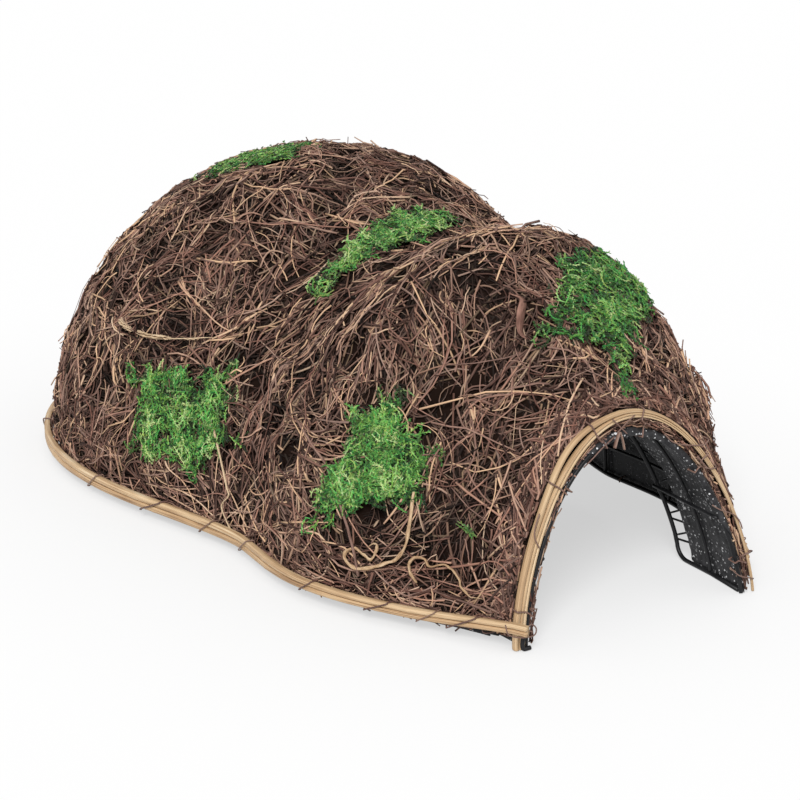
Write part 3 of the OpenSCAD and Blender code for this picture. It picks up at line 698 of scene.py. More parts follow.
def band_solid(name: str, outer: Array, inner: Array, tone: float = 0.5) -> Solid:
    """A closed thin shell between two grids of points.

    Args:
        name: Name of the piece.
        outer: Grid of points of its outer face.
        inner: Grid of points of its inner face.
        tone: How light it is.

    Returns:
        The mesh in the making.
    """
    rows, cols = outer.shape[:2]
    ids = np.arange(rows * cols).reshape(rows, cols)
    back = ids + rows * cols

    def squares(g: Array) -> Array:
        """Faces of a grid of points."""
        return np.stack([g[:-1, :-1], g[:-1, 1:], g[1:, 1:], g[1:, :-1]], -1).reshape(-1, 4)

    edge = np.concatenate([ids[0, :-1], ids[:-1, -1], ids[-1, :0:-1], ids[:0:-1, 0]])
    rim = np.stack([edge, edge + rows * cols, np.roll(edge, -1) + rows * cols, np.roll(edge, -1)], -1)
    u, v = np.meshgrid(np.linspace(0.01, 0.48, cols), np.linspace(0.03, 0.99, rows))
    flat = np.stack([u, v], -1).reshape(-1, 2)
    spread = np.vstack([flat, flat + [0.5, 0]])
    front, behind = squares(ids), squares(back)[:, ::-1]
    turn = np.linspace(0, 1, len(rim) + 1)
    rim_uv = np.stack([turn[:-1], turn[:-1], turn[1:], turn[1:]], -1)
    rim_uv = np.stack([rim_uv, np.broadcast_to([0.001, 0.02, 0.02, 0.001], rim_uv.shape)], -1)
    along = np.concatenate([np.zeros((1, cols)), np.cumsum(steps(outer), 0)])
    values = {
        Value.ALONG: np.tile(along.ravel(), 2),
        Value.AROUND: np.tile(np.broadcast_to(np.linspace(0, 1, cols), (rows, cols)).ravel(), 2),
        Value.TONE: np.full(2 * rows * cols, tone),
        Value.DEPTH: np.zeros(2 * rows * cols),
    }
    made = Solid(name)
    points = np.vstack([outer.reshape(-1, 3), inner.reshape(-1, 3)])
    made.add(points, [front, behind, rim], [spread[front], spread[behind], rim_uv], values)
    return made


class NodeTree:
    """Short ways to place and join shader nodes."""

    def __init__(self, tree: bpy.types.NodeTree) -> None:
        """Keeps the tree that the nodes go into."""
        self.tree = tree

    def feed(self, node: bpy.types.Node, inputs: dict) -> None:
        """Sets or joins a node's inputs.

        Args:
            node: The node.
            inputs: Values or sockets for its inputs.
        """
        for key, value in inputs.items():
            if isinstance(value, Socket):
                self.tree.links.new(value, node.inputs[key])
            else:
                node.inputs[key].default_value = value

    def add(self, kind: str, inputs: dict | None = None, **settings: object) -> bpy.types.Node:
        """Places a node.

        Args:
            kind: Its type.
            inputs: Values or sockets for its inputs.
            settings: Its own settings.

        Returns:
            The node.
        """
        node = self.tree.nodes.new(kind)
        for key, value in settings.items():
            setattr(node, key, value)
        self.feed(node, inputs or {})
        return node

    def value(self, which: Value) -> Socket:
        """A value that the mesh carries."""
        return self.add("ShaderNodeAttribute", attribute_name=which.value).outputs["Fac"]

    def math(self, operation: str, a: object, b: object, c: object = 0.0, clamp: bool = False) -> Socket:
        """Places a sum of two or three values."""
        return self.add("ShaderNodeMath", {0: a, 1: b, 2: c}, operation=operation, use_clamp=clamp).outputs[0]

    def ramp(self, fac: Socket, stops: Stops) -> Socket:
        """Places a colour ramp.

        Args:
            fac: What runs along it.
            stops: Places from 0 to 1, each with its colour.

        Returns:
            Its colour.
        """
        node = self.add("ShaderNodeValToRGB", {"Fac": fac})
        marks = node.color_ramp.elements
        while len(marks) < len(stops):
            marks.new(0.5)
        for mark, (place, colour) in zip(marks, stops):
            mark.position = place
            mark.color = (*colour, 1)
        return node.outputs["Color"]

    def tint(self, fac: Socket, a: object, b: object) -> Socket:
        """Mixes the share fac of colour b into colour a."""
        return self.add("ShaderNodeMix", {0: fac, 6: a, 7: b}, data_type="RGBA", blend_type="MIX").outputs[2]

    def noise(self, **inputs: object) -> Socket:
        """Places a noise."""
        return self.add("ShaderNodeTexNoise", inputs).outputs["Fac"]

    def seen(self) -> Socket:
        """Which rays show the surface: 1 for the camera's own, mirrored and let through, 0 for others.

        Returns:
            The mask.
        """
        path = self.add("ShaderNodeLightPath").outputs
        mirrored = self.math("MAXIMUM", path["Is Camera Ray"], path["Is Glossy Ray"])
        return self.math("MAXIMUM", mirrored, path["Is Transmission Ray"])


class SharedEffects:
    """Effects that several finishes use, each built once as a shader node group."""

    def __init__(self) -> None:
        """Starts with no group built."""
        self.built: dict[str, bpy.types.ShaderNodeTree] = {}

    def group(self, name: str, inputs: dict[str, float], outputs: tuple[str, ...]) -> tuple:
        """Starts a group.

        Args:
            name: Its name.
            inputs: Its inputs and their usual values.
            outputs: Its outputs.

        Returns:
            The group's tree, the sockets of its inputs and its output node.
        """
        tree = bpy.data.node_groups.new(name, "ShaderNodeTree")
        for key, value in inputs.items():
            socket = tree.interface.new_socket(key, in_out="INPUT", socket_type="NodeSocketFloat")
            socket.default_value = value
        for key in outputs:
            tree.interface.new_socket(key, in_out="OUTPUT", socket_type="NodeSocketFloat")
        self.built[name] = tree
        nt = NodeTree(tree)
        return nt, nt.add("NodeGroupInput").outputs, nt.add("NodeGroupOutput")

    def grain(self) -> bpy.types.ShaderNodeTree:
        """Streaks that run along a strand, and patches along it.

        Returns:
            The group.
        """
        name, apart = "strand_grain", 971.0
        if name in self.built:
            return self.built[name]
        nt, given, out = self.group(name, {"Along": 0.1, "Around": 6.0, "Patch": 0.03}, ("Streak", "Patch"))
        along, around, tone = (nt.value(v) for v in (Value.ALONG, Value.AROUND, Value.TONE))
        place = nt.math("MULTIPLY", tone, apart)
        x, y = nt.math("MULTIPLY", along, given["Along"]), nt.math("MULTIPLY", around, given["Around"])
        spot = nt.add("ShaderNodeCombineXYZ", {0: x, 1: y, 2: place}).outputs[0]
        fine = nt.noise(Vector=spot, Scale=1.0, Detail=3.0, Roughness=0.6)
        x = nt.math("MULTIPLY", along, given["Patch"])
        spot = nt.add("ShaderNodeCombineXYZ", {0: x, 1: around, 2: place}).outputs[0]
        nt.feed(out, {"Streak": fine, "Patch": nt.noise(Vector=spot, Scale=1.0, Detail=2.0)})
        return self.built[name]

    def mottle(self) -> bpy.types.ShaderNodeTree:
        """Dust and weathering in soft patches over the whole house.

        Returns:
            The group.
        """
        name = "weather_mottle"
        if name in self.built:
            return self.built[name]
        nt, given, out = self.group(name, {"Wide": 9.0, "Fine": 160.0}, ("Wide", "Fine"))
        spot = nt.add("ShaderNodeTexCoord").outputs["Object"]
        for key, detail in (("Wide", 3.0), ("Fine", 4.0)):
            nt.feed(out, {key: nt.noise(Vector=spot, Scale=given[key], Detail=detail)})
        return self.built[name]


EFFECTS = SharedEffects()


def new_material(name: str) -> tuple[bpy.types.Material, NodeTree]:
    """A new material with nodes.

    Args:
        name: Its name.

    Returns:
        The material and its nodes.
    """
    material = bpy.data.materials.new(name)
    material.use_nodes = True
    return material, NodeTree(material.node_tree)


@dataclass(frozen=True)
class Finish:
    """A finish whose colour runs along a ramp by a strand's tone, its grain and the weathering, and is
    darkened by the strand's depth value as painted shade.
    """

    name: str
    stops: Stops
    tone: float = 0.7
    streak: float = 0.5
    patch: float = 0.3
    offset: float = -0.25
    mottle: float = 0.25
    along: float = 0.12
    around: float = 5.0
    # deep and dark: how strongly the depth value darkens the colour, and the near-black colour it darkens to;
    # this is painted shade in the gaps between strands.
    deep: float = 0.0
    dark: Colour = (0.006, 0.004, 0.003)
    roughness: float = 0.75
    uneven: float = 0.3
    bump: float = 0.35
    bump_mm: float = 0.3
    specular: float = 0.35
    sheen: float = 0.0
    other: Stops = ()

    def build(self) -> bpy.types.Material:
        """Makes the material.

        Returns:
            The material.
        """
        material, nt = new_material(self.name)
        given = {"Along": self.along, "Around": self.around}
        grain = nt.add("ShaderNodeGroup", given, node_tree=EFFECTS.grain()).outputs
        mottle = nt.add("ShaderNodeGroup", node_tree=EFFECTS.mottle()).outputs
        tone = nt.value(Value.TONE)
        total = nt.math("MULTIPLY_ADD", tone, self.tone, self.offset)
        shares = {"Streak": self.streak, "Patch": self.patch}
        for key, share in shares.items():
            total = nt.math("MULTIPLY_ADD", grain[key], share, total)
        total = nt.math("MULTIPLY_ADD", mottle["Wide"], self.mottle, total)
        colour = nt.ramp(total, self.stops)
        if self.other:
            pick = nt.add("ShaderNodeTexWhiteNoise", {"W": tone}, noise_dimensions="1D").outputs["Value"]
            colour = nt.tint(pick, colour, nt.ramp(total, self.other))
        # Painted shade: deeper strands are mixed towards the dark colour.
        if self.deep:
            shade = nt.math("MULTIPLY", nt.value(Value.DEPTH), self.deep, clamp=True)
            colour = nt.tint(shade, colour, (*self.dark, 1))
        heights = {"Height": grain["Streak"], "Strength": self.bump, "Distance": self.bump_mm * MILLIMETRE}
        least = self.roughness - self.uneven / 2
        surface = {
            "Base Color": colour,
            "Roughness": nt.math("MULTIPLY_ADD", mottle["Fine"], self.uneven, least),
            "Specular IOR Level": self.specular,
            "Sheen Weight": self.sheen,
            "Normal": nt.add("ShaderNodeBump", heights).outputs["Normal"],
        }
        nt.feed(nt.tree.nodes["Principled BSDF"], surface)
        return material


@dataclass(frozen=True)
class LiningFinish:
    """Black ground-cover sheet: fine ribs of a tape weave, dust and pale flecks."""

    name: str = "black_lining_sheet"
    dusty: Stops = ((0.35, (0.007, 0.007, 0.008)), (0.8, (0.055, 0.055, 0.058)))
    fleck: Colour = (0.72, 0.72, 0.73)
    flecks: tuple[tuple[float, float, float], ...] = ((430.0, 0.32, 0.5), (210.0, 0.25, 0.72))
    roughness: float = 0.6
    specular: float = 0.25
    weave_per_metre: float = 420.0
    weave_waver: float = 0.6
    bump: float = 0.3
    bump_mm: float = 0.3

    def build(self) -> bpy.types.Material:
        """Makes the material. Each lot of flecks has its number per metre, its reach and its rarity.

        Returns:
            The material.
        """
        material, nt = new_material(self.name)
        fine = nt.add("ShaderNodeGroup", node_tree=EFFECTS.mottle()).outputs["Fine"]
        spot = nt.add("ShaderNodeTexCoord").outputs["Object"]
        colour = nt.ramp(fine, self.dusty)
        for per_metre, reach, rare in self.flecks:
            cells = nt.add("ShaderNodeTexVoronoi", {"Vector": spot, "Scale": per_metre}).outputs
            near = nt.math("LESS_THAN", cells["Distance"], reach)
            drawn = nt.add("ShaderNodeSeparateColor", {0: cells["Color"]}).outputs
            mask = nt.math("MULTIPLY", near, nt.math("GREATER_THAN", drawn[0], rare))
            colour = nt.tint(nt.math("MULTIPLY", mask, drawn[1]), colour, (*self.fleck, 1))
        ribs = {"Vector": spot, "Scale": self.weave_per_metre, "Distortion": self.weave_waver}
        height = nt.math("ADD", nt.add("ShaderNodeTexWave", ribs).outputs["Fac"], fine)
        heights = {"Height": height, "Strength": self.bump, "Distance": self.bump_mm * MILLIMETRE}
        surface = {
            "Base Color": colour,
            "Roughness": self.roughness,
            "Specular IOR Level": self.specular,
            "Normal": nt.add("ShaderNodeBump", heights).outputs["Normal"],
        }
        nt.feed(nt.tree.nodes["Principled BSDF"], surface)
        return material


@dataclass(frozen=True)
class Finishes:
    """The house's finishes."""

    twig: Finish = Finish(
        "brushwood_twigs",
        ((0.0, (0.006, 0.003, 0.003)), (0.25, (0.036, 0.016, 0.012)), (0.5, (0.152, 0.069, 0.051)),
         (0.72, (0.350, 0.176, 0.128)), (0.88, (0.540, 0.305, 0.205)), (1.0, (0.710, 0.455, 0.275))),
        other=(
            (0.0, (0.006, 0.004, 0.004)), (0.25, (0.030, 0.019, 0.016)), (0.5, (0.117, 0.071, 0.057)),
            (0.72, (0.272, 0.176, 0.142)), (0.88, (0.450, 0.310, 0.240)), (1.0, (0.650, 0.470, 0.335))),
        # deep: painted shade that darkens deep-lying twigs towards near-black.
        tone=0.85, streak=0.6, offset=-0.34, deep=0.97, specular=0.14,
    )
    # The bed's near-black colour is painted shade for the shaded depths of the brushwood under the twigs.
    bed: Finish = Finish(
        "brushwood_bed",
        ((0.0, (0.002, 0.001, 0.001)), (1.0, (0.02, 0.012, 0.009))),
        specular=0.0, roughness=0.9,
    )
    cane: Finish = Finish(
        "split_cane",
        ((0.0, (0.060, 0.026, 0.012)), (0.25, (0.225, 0.126, 0.064)), (0.5, (0.450, 0.288, 0.156)),
         (0.75, (0.610, 0.436, 0.256)), (1.0, (0.760, 0.620, 0.435))),
        tone=0.45, streak=1.35, patch=0.6, offset=-0.72, along=0.02, around=17.0, roughness=0.5, bump=0.5,
    )
    binding: Finish = Finish(
        "brown_binding_wire",
        ((0.0, (0.03, 0.014, 0.011)), (0.5, (0.105, 0.05, 0.04)), (1.0, (0.30, 0.19, 0.14))),
        roughness=0.5, specular=0.5,
    )
    wire: Finish = Finish(
        "black_coated_wire",
        ((0.0, (0.004, 0.004, 0.004)), (0.6, (0.009, 0.009, 0.01)), (1.0, (0.04, 0.04, 0.042))),
        roughness=0.42, specular=0.2, bump=0.15, bump_mm=0.1,
    )
    moss: Finish = Finish(
        "dyed_moss",
        ((0.0, (0.004, 0.030, 0.010)), (0.22, (0.016, 0.120, 0.034)), (0.45, (0.036, 0.310, 0.066)),
         (0.65, (0.088, 0.465, 0.105)), (0.82, (0.220, 0.585, 0.170)), (1.0, (0.480, 0.700, 0.310))),
        other=(
            (0.0, (0.012, 0.026, 0.004)), (0.22, (0.040, 0.095, 0.016)), (0.45, (0.110, 0.240, 0.032)),
            (0.65, (0.230, 0.390, 0.055)), (0.82, (0.400, 0.520, 0.110)), (1.0, (0.640, 0.650, 0.270))),
        # deep: painted shade that darkens the lower fronds of each cushion.
        tone=0.95, streak=0.3, offset=-0.3, deep=0.92, specular=0.15, sheen=0.1,
    )
    dry_wood: Finish = Finish(
        "dry_root_and_stem",
        ((0.0, (0.055, 0.026, 0.015)), (0.3, (0.18, 0.095, 0.050)), (0.6, (0.40, 0.25, 0.135)),
         (1.0, (0.68, 0.51, 0.33))),
        tone=0.9, streak=1.2, patch=0.7, offset=-0.85, along=0.25, around=7.0, bump=0.8, bump_mm=0.8,
    )
    lining: LiningFinish = LiningFinish()


class Skin:
    """A face of the house on which strands are laid."""

    def __init__(self, face: Callable[[Array, Array], Array]) -> None:
        """Builds the face as a mesh that finds the nearest point.

        Args:
            face: Gives the face's points for stations and turns.
        """
        s = FORM.rear_stations(FORM.thatch_at, 110, 70)
        grid = face(s[:, None], np.linspace(0, 180, 160)[None])
        points = grid.reshape(-1, 3)
        ids = np.arange(len(points)).reshape(grid.shape[:2])
        a, b, c, d = (g.ravel() for g in (ids[:-1, :-1], ids[:-1, 1:], ids[1:, 1:], ids[1:, :-1]))
        faces = np.vstack([np.stack([a, b, c], -1), np.stack([a, c, d], -1)])
        corner = points[faces]
        normal = np.cross(corner[:, 1] - corner[:, 0], corner[:, 2] - corner[:, 0])
        outward = np.sum(normal * (corner.mean(1) - [0, FORM.length / 2, 0]), -1).sum() > 0
        self.corner = corner if outward else corner[:, ::-1]
        self.area = np.linalg.norm(normal, axis=-1) / 2
        order = faces if outward else faces[:, ::-1]
        self.tree = BVHTree.FromPolygons(points.tolist(), order.tolist())

    def pick(self, rng: np.random.Generator, count: int) -> Array:
        """Points spread evenly over the skin.

        Args:
            rng: Source of the random draws.
            count: Number of points.

        Returns:
            The points.
        """
        face = rng.choice(len(self.area), count, p=self.area / self.area.sum())
        a, b = np.sqrt(rng.random(count))[:, None], rng.random(count)[:, None]
        p, q, r = (self.corner[face, i] for i in range(3))
        return p * (1 - a) + q * a * (1 - b) + r * a * b

    def nearest(self, points: Array) -> tuple[Array, Array]:
        """Nearest points of the skin, with its normals there.

        Args:
            points: Points near the skin.

        Returns:
            The points and the normals.
        """
        flat = points.reshape(-1, 3)
        found = [self.tree.find_nearest(p) for p in flat.tolist()]
        on = np.array([f[0] for f in found]).reshape(points.shape)
        normal = np.array([f[1] for f in found]).reshape(points.shape)
        return on, normal

    @staticmethod
    def past_edge(on: Array) -> Array:
        """Which nearest points lie on the skin's edge, so that the strand has run past it."""
        front = on[..., 1] - on[..., 2] * FORM.slope < FORM.thatch_at + 1.2
        return (on[..., 2] < FORM.thatch_low + 1.0) | front

    def lay(
        self, centre: Array, heading: Array, length: Array, bend: Array, lift: Array
    ) -> tuple[Array, Array]:
        """Lays strands on the skin and cuts them short at its edge.

        Args:
            centre: Middle of each strand.
            heading: Direction of each strand.
            length: Length of each strand.
            bend: Sideways bow of each strand, as a share of its length.
            lift: Height over the skin at each point of each strand.

        Returns:
            The paths and which of them are long enough to keep.
        """
        k = lift.shape[1]
        on, normal = self.nearest(centre)
        heading = unit(heading - normal * np.sum(heading * normal, -1, keepdims=True))
        side = np.cross(normal, heading)

        def chord(u: Array) -> Array:
            """The strand's bowed line before it is pressed onto the skin."""
            bow = (bend[:, None] * (u * u - 0.3))[..., None] * side[:, None]
            return on[:, None] + (heading[:, None] * u[..., None] + bow) * (length / 2)[:, None, None]

        u = np.broadcast_to(np.linspace(-1, 1, 9), (len(on), 9))
        past = self.past_edge(self.nearest(chord(u))[0])
        before = np.where(past & (u < 0), u, -1.0).max(1)
        after = np.where(past & (u > 0), u, 1.0).min(1)
        start = np.where((past & (u < 0)).any(1), before + 0.2, -1.0)
        end = np.where((past & (u > 0)).any(1), after - 0.2, 1.0)
        keep = (end - start) * length / 2 > 8.0
        u = mix(start[:, None], end[:, None], np.linspace(0, 1, k)[None])
        on, normal = self.nearest(chord(u))
        return on + normal * lift[..., None], keep


@dataclass(frozen=True)
class TwigLot:
    """A lot of twigs: number of bundles, twigs in each, and the twigs' sizes and lie."""

    bundles: int
    least: int
    most: int
    length: float
    radius: float
    bow: float
    spin: float
    deepest: float
    highest: float
    tone: float
    points: int = 6


@dataclass
class Brushwood:
    """The thatch: a near-black bed, whose colour is painted shade for the brushwood's depths, and twigs laid
    on it in bundles and singly.
    """

    skin: Skin
    envelope: Skin
    finishes: Finishes
    lots: tuple[TwigLot, ...] = (
        TwigLot(1250, 4, 8, 42.0, 0.78, 0.16, 0.22, -5.2, -2.2, 0.50),
        TwigLot(2800, 2, 6, 38.0, 0.70, 0.20, 0.25, -3.4, 0.2, 0.54),
        TwigLot(5200, 1, 1, 34.0, 0.60, 0.34, 0.60, -2.6, 0.9, 0.56),
        TwigLot(200, 1, 1, 62.0, 0.80, 0.16, 0.40, -1.8, 0.3, 0.50, 9),
        TwigLot(900, 1, 1, 26.0, 0.40, 0.70, 1.20, -1.0, 1.6, 0.62, 7),
    )
    flakes: int = 650
    collar: int = 800
    leaf: tuple = ((97, 104), (88, 102), (80, 105), (71, 108), (63, 107))
    jamb: int = 900
    skirt: int = 1900
    tuft: tuple = (132.0, 112.0, 118.0)
    tuft_reach: float = 20.0
    tuft_lift: float = 6.0
    pieces: int = 9
    bed_depth: float = 3.6
    throat: float = 12.5
    slot: float = 8.5
    seed: int = 7

    def bed(self, chamber: Chamber) -> bpy.types.Object:
        """The dark mass under the twigs of one chamber; its near-black colour is painted shade.

        Args:
            chamber: Which chamber.

        Returns:
            The piece.
        """
        rng = np.random.default_rng(self.seed + len(chamber.value))
        s = FORM.stations(chamber, FORM.thatch_at, (70, 50, 60))[:, None]
        turn = np.linspace(0, 180, 120)[None]
        face = FORM.thatch_face(s, turn)
        inner = FORM.skin(s, turn, FORM.thatch_in, FORM.thatch_low)
        sunk = np.clip(self.bed_depth + rng.normal(0, 0.9, face.shape[:2]), 1.5, 6.0)
        thick = np.linalg.norm(inner - face, axis=-1)
        share = np.clip(sunk / np.maximum(thick, 1e-6), 0, 0.7)
        outer = mix(face, inner, share[..., None])
        solid = band_solid(f"{chamber.value}_brushwood_bed", outer, inner)
        return solid.build(self.painted_shade_bed_finish, Slot.BRUSHWOOD, f"{chamber.value}_brushwood")

    @staticmethod
    def headings(rng: np.random.Generator, on: Array, normal: Array) -> Array:
        """Directions of bundles: along the valley, the arch and the rim where these are near.

        Args:
            rng: Source of the random draws.
            on: Places on the skin.
            normal: The skin's normals there.

        Returns:
            The directions.
        """
        n = len(on)
        over = unit(np.cross(normal, np.array([0, 1.0, 0])))
        along = unit(np.cross(normal, over))
        x, y, z = on.T
        valley = np.exp(-(((y - FORM.saddle_at) / 34) ** 2))
        arch = np.exp(-((np.maximum(0, y - z * FORM.slope - FORM.thatch_at) / 26) ** 2))
        rim = np.exp(-((np.maximum(0, z - FORM.thatch_low) / 38) ** 2))
        swirl = 1.3 * np.sin(y / 47 + 1.4 * np.sin(z / 36)) + 0.9 * np.sin(x / 41 + y / 83)
        angle = np.where(rng.random(n) < 0.7, swirl + rng.normal(0, 0.45, n), rng.uniform(0, np.pi, n))
        draw = rng.random(n)
        close = rng.normal(0, 0.22, n)
        angle = np.where(draw < 0.85 * valley, close, angle)
        angle = np.where(draw > 1 - 0.25 * arch, close, angle)
        level = unit(np.cross(normal, np.array([0, 0, 1.0])))
        heading = over * np.cos(angle)[:, None] + along * np.sin(angle)[:, None]
        tilted = unit(level + np.cross(normal, level) * rng.normal(0, 0.35, n)[:, None])
        return np.where((rng.random(n) < 0.85 * rim)[:, None], tilted, heading)

    def sunk(self, paths: Array) -> Array:
        """How deep each strand's middle lies under the house's envelope, from 0 to 1, for the finish's
        painted shade.

        Args:
            paths: The strands' paths.

        Returns:
            The depths.
        """
        middle = paths[:, paths.shape[1] // 2]
        on, normal = self.envelope.nearest(middle)
        return np.clip((np.sum((on - middle) * normal, -1) + 0.3) / 8.0, 0, 1)

    def lay_lot(self, lot: TwigLot) -> tuple[Array, ...]:
        """Lays a lot of twigs.

        Args:
            lot: The lot.

        Returns:
            Paths, radii, tones and depths.
        """
        rng = self.rng
        seeds, normal = self.skin.nearest(self.skin.pick(rng, lot.bundles))
        heading = self.headings(rng, seeds, normal)
        owner = np.repeat(np.arange(lot.bundles), rng.integers(lot.least, lot.most + 1, lot.bundles))
        n, k = len(owner), lot.points
        side = np.cross(normal, heading)[owner]
        heading = heading[owner]
        apart = 7.0 if lot.most > 1 else 0.0
        centre = seeds[owner] + side * rng.normal(0, apart, (n, 1))
        centre = centre + heading * rng.normal(0, 1.3 * apart, (n, 1))
        spin = rng.normal(0, lot.spin, n)[:, None]
        toward = heading * np.cos(spin) + side * np.sin(spin)
        bow = rng.normal(0, lot.bow, lot.bundles)[owner] + rng.normal(0, lot.bow / 2, n)
        base = rng.uniform(lot.deepest, lot.highest, lot.bundles)[owner] + rng.normal(0, 0.6, n)
        tone = rng.normal(lot.tone, 0.13, lot.bundles)[owner] + rng.normal(0, 0.2, n)
        tone = tone + rng.choice([0.0, 0.28, -0.25], n, p=[0.8, 0.08, 0.12])
        length = np.clip(rng.lognormal(math.log(lot.length), 0.42, n), 12, 3 * lot.length)
        u = np.linspace(-1, 1, k)
        lift = base[:, None] + rng.normal(0, 0.9, n)[:, None] * u + rng.normal(0, 0.45, (n, k))
        near = np.exp(-np.sum((centre - self.tuft) ** 2, -1) / self.tuft_reach**2)
        lift = lift + (self.tuft_lift * near)[:, None]
        proud = rng.random(n) < 0.045 + 0.3 * near
        lift = lift + np.where(proud, rng.uniform(1.5, 5.5, n), 0)[:, None] * np.clip(u, 0, 1) ** 2
        paths, keep = self.skin.lay(centre, toward, length, bow, np.clip(lift, -6.5, 10.0))
        low = paths[..., 2].min(1) < 26
        if low.any():
            settled = np.minimum(lift[low], -0.3)
            paths[low], keep[low] = self.skin.lay(centre[low], toward[low], length[low], bow[low], settled)
        thick = lot.radius * np.clip(rng.lognormal(0, 0.28, n), 0.6, 1.5)
        radii = thick[:, None] * mix(1.0, rng.uniform(0.45, 0.9, n)[:, None], np.linspace(0, 1, k)[None])
        radii = radii * (1 + rng.normal(0, 0.06, (n, k)))
        # Painted shade: twigs laid lower and sunk deeper under the envelope get a larger depth value, which
        # darkens them.
        under = np.clip((0.2 - lift.mean(1)) / 3.3, 0, 1)[keep]
        depth = np.clip(0.95 * under + 0.45 * self.sunk(paths[keep]), 0, 1)
        return paths[keep], radii[keep], np.clip(tone, 0.02, 1)[keep], depth

    def lay_flakes(self) -> tuple[Array, ...]:
        """Flat chips of bark and straw caught between the twigs.

        Returns:
            Paths, radii, tones, depths and flatness.
        """
        n, rng = self.flakes, self.rng
        on, normal = self.skin.nearest(self.skin.pick(rng, n))
        way = unit(np.cross(normal, rng.normal(0, 1, (n, 3))))
        reach = rng.uniform(2.0, 6.5, n)[:, None]
        lift = rng.uniform(-1.8, 0.4, n)[:, None]
        tilt = rng.normal(0, 0.25, n)[:, None]
        line = [on + normal * (lift + tilt * reach * u) + way * reach * u for u in (-1, -0.3, 0.4, 1)]
        paths = np.stack(line, 1)
        radii = rng.uniform(0.6, 1.5, n)[:, None] * np.array([0.6, 1.0, 0.95, 0.45])[None]
        # Painted shade: each flake's depth under the envelope darkens it.
        return paths, radii, rng.uniform(0.6, 1.0, n), self.sunk(paths), np.full(n, 0.3)

    def lay_collar(self) -> tuple[Array, ...]:
        """Twigs that close the gap between the thatch and the back of the entrance's canes.

        Returns:
            Paths, radii, tones and depths.
        """
        n, k, rng = self.collar, 6, self.rng
        u = np.linspace(-1, 1, k)[None]
        turn = np.clip(rng.uniform(2, 178, n)[:, None] + rng.normal(0, 4.5, n)[:, None] * u, 1, 179)
        s = rng.uniform(5.6, 20, (n, 1)) + rng.uniform(1, 11, (n, 1)) * u
        s = np.maximum(s + rng.normal(0, 1.5, (n, 1)) * u * u, 5.5)
        base = FORM.over_skin(s, turn, 0.0)
        lift = rng.uniform(-2.6, 0.9, n)[:, None] + rng.normal(0, 0.4, (n, k))
        paths = base + (FORM.over_skin(s, turn, 1.0) - base) * lift[..., None]
        radii = np.repeat(rng.uniform(0.4, 1.0, n)[:, None], k, 1)
        tone = np.clip(rng.normal(0.4, 0.24, n), 0, 1)
        # Painted shade: collar twigs that lie lower get a larger depth value, which darkens them.
        return paths, radii, tone, np.clip((0.6 - lift.mean(1)) / 3.6, 0, 1)

    def lay_skirt(self) -> tuple[Array, ...]:
        """Twigs that lie along the rim, between its canes and the thatch.

        Returns:
            Paths, radii, tones and depths.
        """
        n, k, rng = self.skirt, 5, self.rng
        line = FORM.plan_path(FORM.thatch_at, FORM.rim_face, 0, 400)
        inward = np.cross(unit(np.gradient(line, axis=0)), [0, 0, 1.0])
        u = np.linspace(-1, 1, k)[None]
        at = rng.uniform(4, len(line) - 5, (n, 1)) + rng.uniform(2, 10, (n, 1)) * u
        at = np.clip(at, 0, len(line) - 1)
        depth = np.maximum(rng.uniform(5.6, 13.0, (n, 1)) + rng.normal(0, 0.8, (n, k)), 5.3)
        paths = along_line(line, at) + along_line(inward, at) * depth[..., None]
        z = rng.uniform(8.5, 17.5, (n, 1)) + rng.normal(0, 2.0, (n, 1)) * u
        paths[..., 2] = z + FORM.lift_at(paths[..., 1])
        radii = np.repeat(rng.uniform(0.4, 0.85, n)[:, None], k, 1)
        # Painted shade: random depth values darken these twigs between the rim's canes and the thatch.
        return paths, radii, np.clip(rng.normal(0.5, 0.2, n), 0, 1), rng.uniform(0.1, 0.6, n)

    def lay_jamb(self) -> tuple[Array, ...]:
        """Twig ends between the entrance's canes and its hoop, some along the arch and some end on.

        Returns:
            Paths, radii, tones and depths.
        """
        n, k, rng = self.jamb, 4, self.rng
        turn = rng.uniform(3, 177, n)
        bundle = FORM.arch_bundle * FORM.cane_share(turn)
        throat = self.throat * np.where(turn > 135, 1.25, 1.0)
        deepest = mix(self.slot, throat, FORM.rise((turn - 40) / 60, 1))
        depth = mix(bundle + 0.5, deepest, rng.random(n))
        along_arch = rng.random(n) < 0.55
        u = np.linspace(-1, 1, k)[None]
        run = np.where(along_arch, rng.uniform(3, 9, n), rng.normal(0, 0.8, n))[:, None] * u
        back = np.where(along_arch, rng.normal(0, 1.0, n), rng.uniform(2.5, 6, n))[:, None] * u
        s = rng.uniform(1.8, 7.5, n)[:, None] + np.where(along_arch, 0, 3.5)[:, None] + back
        turns = np.repeat(turn[:, None], k, 1)
        out = -depth[:, None] + rng.normal(0, 0.5, (n, k))
        paths = FORM.arch(turns, FORM.door_arch, out, s, run)
        paths[..., 2] = np.maximum(paths[..., 2], 3.0)
        radii = np.repeat(rng.uniform(0.35, 0.85, n)[:, None], k, 1)
        # Painted shade: random depth values darken these twig ends between the canes and the hoop.
        return paths, radii, np.clip(rng.normal(0.55, 0.25, n), 0, 1), rng.uniform(0.0, 0.55, n)

